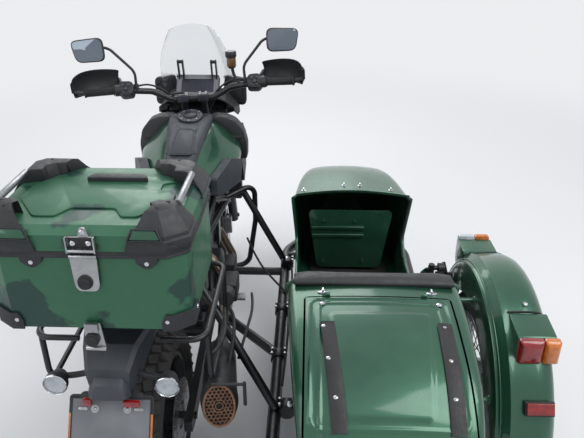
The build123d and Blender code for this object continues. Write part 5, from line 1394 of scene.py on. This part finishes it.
class OUTFIT_OT_tail(bpy.types.Operator):
    """Builds the tail lamps, the hood, the reflectors and the fittings of the bare plate"""

    bl_idname = "outfit.tail"
    bl_label = "Tail"

    def execute(self, context):
        lenses, rims, bulbs, cones = [], [], [], []
        for side in (1, -1):
            centre = at(side * 156, -345, 772)
            cones.append(turned([(-36, 0), (-36, 16), (-30, 20), (-8, 30), (0, 33), (12, 34), (14, 32)],
                                centre, BACK, 40, ends=False))
            rims.append(turned([(12, 34.5), (16, 34.5), (18, 32.5), (16, 31), (12, 31)], centre, BACK, 40,
                               ends=False))
            lenses.append(turned([(14, 32), (17, 31), (21, 25), (23.5, 14), (24, 0)], centre, BACK, 40,
                                 ends=False))
            bulbs.append(turned([(2, 0), (4, 12), (12, 30)], centre, BACK, 32, ends=False))
            cones.append(pipe([at(side * 60, -316, 786), at(side * 110, -322, 776),
                               at(side * 156, -322, 772)], 9, bend=30))
        finished(cones, "tail_lamp_shells", "black_plastic", "chassis", "rear_lamps")
        finished(rims, "tail_lamp_rims", "chrome")
        finished(bulbs, "tail_lamp_reflectors", "white_lens")
        finished(lenses, "tail_lamp_glass", "clear_glass")
        reflectors = [block((-72, -396, 728), (-48, -384, 754), 3),
                      block((38, -396, 728), (84, -384, 748), 3)]
        finished(reflectors, "tail_reflectors", "red_lens")
        centre = at(0, -402, 668)
        up, normal = Vector((0, 0.54, 0.84)), Vector((0, -0.84, 0.54))
        bolts = []
        for x in (-45, 45):
            spot = centre + mm(x, 0, 0) + up * 0.046 + normal * 0.0075
            bolts += [turned([(0, 11), (1.4, 11), (1.4, 0)], spot, normal, 24),
                      turned([(1, 6), (4.6, 6), (6, 4), (6, 0)], spot, normal, 6)]
        for x in (-78, 78):
            line = rounded_pairs([(x - 13, -4), (x + 13, -4), (x + 13, 4), (x - 13, 4)], 4)
            bolts.append(plate(line, centre + up * 0.046 + normal * 0.0092, X, up, 1.0, round_edge=0.3))
        finished(bolts, "plate_bolts", "bare_steel")
        strips = [plate(four(4, 4, -34, 34), centre + mm(x, 0, 0) + normal * 0.006, X, up, 3, corner=3)
                  for x in (-113, 113)]
        finished(strips, "plate_side_reflectors", "amber_lens")
        edge = pipe([centre + mm(x, 0, 0) + up * (y / 1000) + normal * 0.008
                     for x, y in four(110, 110, -75, 75)], 2.4, closed=True)
        yoke = plate([(-104, 56), (-84, 92), (84, 92), (104, 56)], centre - normal * 0.004, X, up, 10,
                     corner=8, round_edge=3)
        finished([edge, yoke], "plate_frame", "black_plastic")
        rows = []
        for y, z, half, rise in ((-366, 812, 36, 0), (-370, 804, 38, 8), (-374, 796, 40, 14),
                                 (-379, 776, 46, 20), (-382, 760, 50, 18), (-380, 751, 51, 4)):
            line = ((-half - 8, -8), (-half, rise * 0.6), (-half * 0.8, rise), (0, rise), (half * 0.8, rise),
                    (half, rise * 0.6), (half + 8, -8))
            rows.append([at(x, y - lift, z) for x, lift in line])
        hood = sheet(rows, wall=3)
        soften(hood, 3, 3, 20)
        finished(hood, "tail_hood", "grey_plastic", smooth=30)
        return {"FINISHED"}


class OUTFIT_OT_engine(bpy.types.Operator):
    """Builds the engine's covers and bolts, and the silencer's grille, core and cap"""

    bl_idname = "outfit.engine"
    bl_label = "Engine and silencer"

    def execute(self, context):
        covers, bolts = [], []
        for side in (1, -1):
            x = side * (half_width("engine") - 2)
            face = at(x, 850, 415)
            covers.append(turned([(-2, 96), (6, 96), (12, 88), (14, 60), (18, 54), (18, 0)], face,
                                 (side, 0, 0), 48))
            bolts.append(ring_of(turned([(4, 5), (9, 5), (10, 3.5), (10, 0)], face + mm(0, 0, 86),
                                        (side, 0, 0), 6), 10, face, Vector(X)))
        finished(covers, "engine_covers", "engine_grey")
        finished(bolts, "engine_cover_bolts", "bare_steel")
        centre, axis, wide, tall = silencer_end()
        cells = []
        for row in range(-8, 9):
            for col in range(-6, 7):
                x, y = (col + (row % 2) * 0.5) * 13.2, row * 11.4
                if (x / 45) ** 2 + (y / 65) ** 2 < 1 and hypot(x, y) > 22:
                    cells.append(centre + wide * x / 1000 + tall * y / 1000)
        cell = turned([(-2, 7.5), (2, 7.5), (2, 5.9), (-2, 5.9), (-2, 7.5)], cells[0], axis, 6, ends=False)

        def oval(out, half_wide, half_tall):
            turns = [pi * k / 24 for k in range(48)]
            return [centre + (axis * out + wide * cos(turn) * half_wide + tall * sin(turn) * half_tall) / 1000
                    for turn in turns]

        rims = [oval(*ring) for ring in ((-3, 52, 72), (3, 52, 72), (5, 49, 69), (3, 45, 65), (-3, 44, 64))]
        hoops = [turned([(-2, r), (3, r), (3, r - 2.4), (-2, r - 2.4)], centre, axis, 32, ends=False)
                 for r in (22, 13)]
        finished([placed(cell, cells), sheet(rims, closed=True), *hoops], "silencer_grille", "bronze")
        finished(sheet([oval(-4, 44, 64), oval(-7, 44, 64)], closed=True, ends=True), "silencer_core",
                 "rubber", slot="silencer_bronze")
        cap = [oval(*ring) for ring in ((-46, 59, 79), (-40, 61, 81), (-8, 56, 76), (-2, 52, 72))]
        finished(sheet(cap, closed=True), "silencer_cap", "black_plastic", slot="silencer_bronze")
        return {"FINISHED"}


def half_width(node):
    """Half the width of a CAD node, in millimetres."""
    low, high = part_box(node)
    return (high[0] - low[0]) * 500


def silencer_end():
    """The middle of the silencer's mouth, the way it points, and its wide and tall directions."""
    start, end = at(205, 250, 415), at(268, -205, 560)
    axis = (end - start).normalized()
    wide = Vector((-axis.y, axis.x, 0)).normalized()
    return end, axis, wide, axis.cross(wide)


class OUTFIT_OT_links(bpy.types.Operator):
    """Builds the clamps, bolts and hoses of the links, the fittings by the silencer and the sidecar's drum"""

    bl_idname = "outfit.links"
    bl_label = "Sidecar links"

    def execute(self, context):
        clamps, bolts = [], []
        for place in (at(436, 1010, 350), at(425, 320, 326), at(470, 20, 340), at(425, 640, 326)):
            clamps.append(turned([(-24, 0), (-24, 29), (-20, 31), (20, 31), (24, 29), (24, 0)], place, Y, 28))
            for dx in (-14, 14):
                for dz in (-1, 1):
                    foot = place + mm(0, dx, 0) + mm(0, 0, 24)
                    bolts.append(rod(foot + mm(-26 * dz, 0, 0), foot + mm(-26 * dz, 0, 12), 6, vertices=6,
                                     round_edge=0.8))
        finished(clamps, "chassis_clamps", "frame_black")
        finished(bolts, "chassis_clamp_bolts", "bare_steel")
        hose = [pipe([at(1020, 560, 352), at(1004, 480, 380), at(1040, 380, 398), at(1090, 300, 380),
                      at(1092, 250, 352)], 4.5, smooth=True),
                      pipe([at(448, 1040, 362), at(470, 900, 344), at(452, 700, 356), at(462, 400, 352),
                            at(448, 120, 356)], 5, smooth=True),
                            pipe([at(240, 1000, 500), at(300, 900, 420), at(380, 820, 372),
                                  at(444, 740, 352)], 5, smooth=True)]
        finished(hose, "brake_hose", "rubber")
        bright = [rod(at(480, 4, 372), at(482, -6, 386), 11, round_edge=2),
                  rod(at(431, 1016, 366), at(429, 1010, 384), 10, round_edge=2),
                  rod(at(1172, 203, 596), at(1172, 198, 610), 8, round_edge=1.5),
                  block((970, 862, 786), (990, 874, 800), 3)]
        finished(bright, "link_bolts", "chrome")
        rack = [block((341, -186, 543), (352, -176, 637), 3),
                pipe([at(246, -196, 640), at(300, -190, 634), at(346, -181, 628)], 5, bend=20),
                pipe([at(250, 120, 700), at(268, 20, 690), at(262, -90, 700), at(248, -150, 720)], 6,
                     smooth=True), pipe([at(230, 330, 560), at(262, 240, 600), at(282, 120, 610),
                                         at(276, 20, 560), at(262, -60, 500)], 7, smooth=True),
                                         pipe([at(300, 560, 470), at(320, 420, 500), at(312, 260, 520),
                                               at(290, 120, 480)], 5.5, smooth=True),
                                               turned([(0, 0), (0, 27), (6, 30), (86, 30), (92, 26), (92, 0)],
                                                      at(232, 310, 640), (0.1, -0.9, 0.3), 28),
                                                      block((206, 360, 560), (262, 470, 640), 8, 3),
                                                      block((196, 500, 600), (240, 590, 650), 8, 3)]
        finished(rack, "side_fittings", "black_plastic")
        drums = turned([(-50, 0), (-50, 30), (-44, 34), (-44, 66), (-38, 70)], at(*WHEEL), X, 40, ends=False)
        finished(drums, "sidecar_drum", "alloy", "sidecar_wheel")
        return {"FINISHED"}


GROUPS = (
    OUTFIT_OT_stage, OUTFIT_OT_finishes, OUTFIT_OT_tub, OUTFIT_OT_luggage_lid, OUTFIT_OT_pads,
    OUTFIT_OT_sidecar_guard, OUTFIT_OT_wheels, OUTFIT_OT_case, OUTFIT_OT_tank, OUTFIT_OT_controls,
    OUTFIT_OT_front, OUTFIT_OT_tail, OUTFIT_OT_engine, OUTFIT_OT_links,
)


class OUTFIT_PT_panel(bpy.types.Panel):
    """Lists the outfit's groups, sizes and colours"""

    bl_idname = "OUTFIT_PT_panel"
    bl_label = "Sidecar motorcycle"
    bl_space_type = "VIEW_3D"
    bl_region_type = "UI"
    bl_category = "Outfit"

    def draw(self, context):
        layout = self.layout
        for settings in (context.scene.outfit_colours, context.scene.outfit_sizes):
            for name in settings.__annotations__:
                layout.prop(settings, name)
        for group in GROUPS:
            layout.operator(group.bl_idname)


CLASSES = (OutfitColours, OutfitSizes, *GROUPS, OUTFIT_PT_panel)


def register():
    for item in CLASSES:
        bpy.utils.register_class(item)
    bpy.types.Scene.outfit_colours = bpy.props.PointerProperty(type=OutfitColours)
    bpy.types.Scene.outfit_sizes = bpy.props.PointerProperty(type=OutfitSizes)


def unregister():
    del bpy.types.Scene.outfit_sizes
    del bpy.types.Scene.outfit_colours
    for item in reversed(CLASSES):
        bpy.utils.unregister_class(item)


def main():
    register()
    for group in GROUPS:
        name = group.bl_idname.split(".")[1]
        getattr(bpy.ops.outfit, name)()


if __name__ == "__main__":
    main()
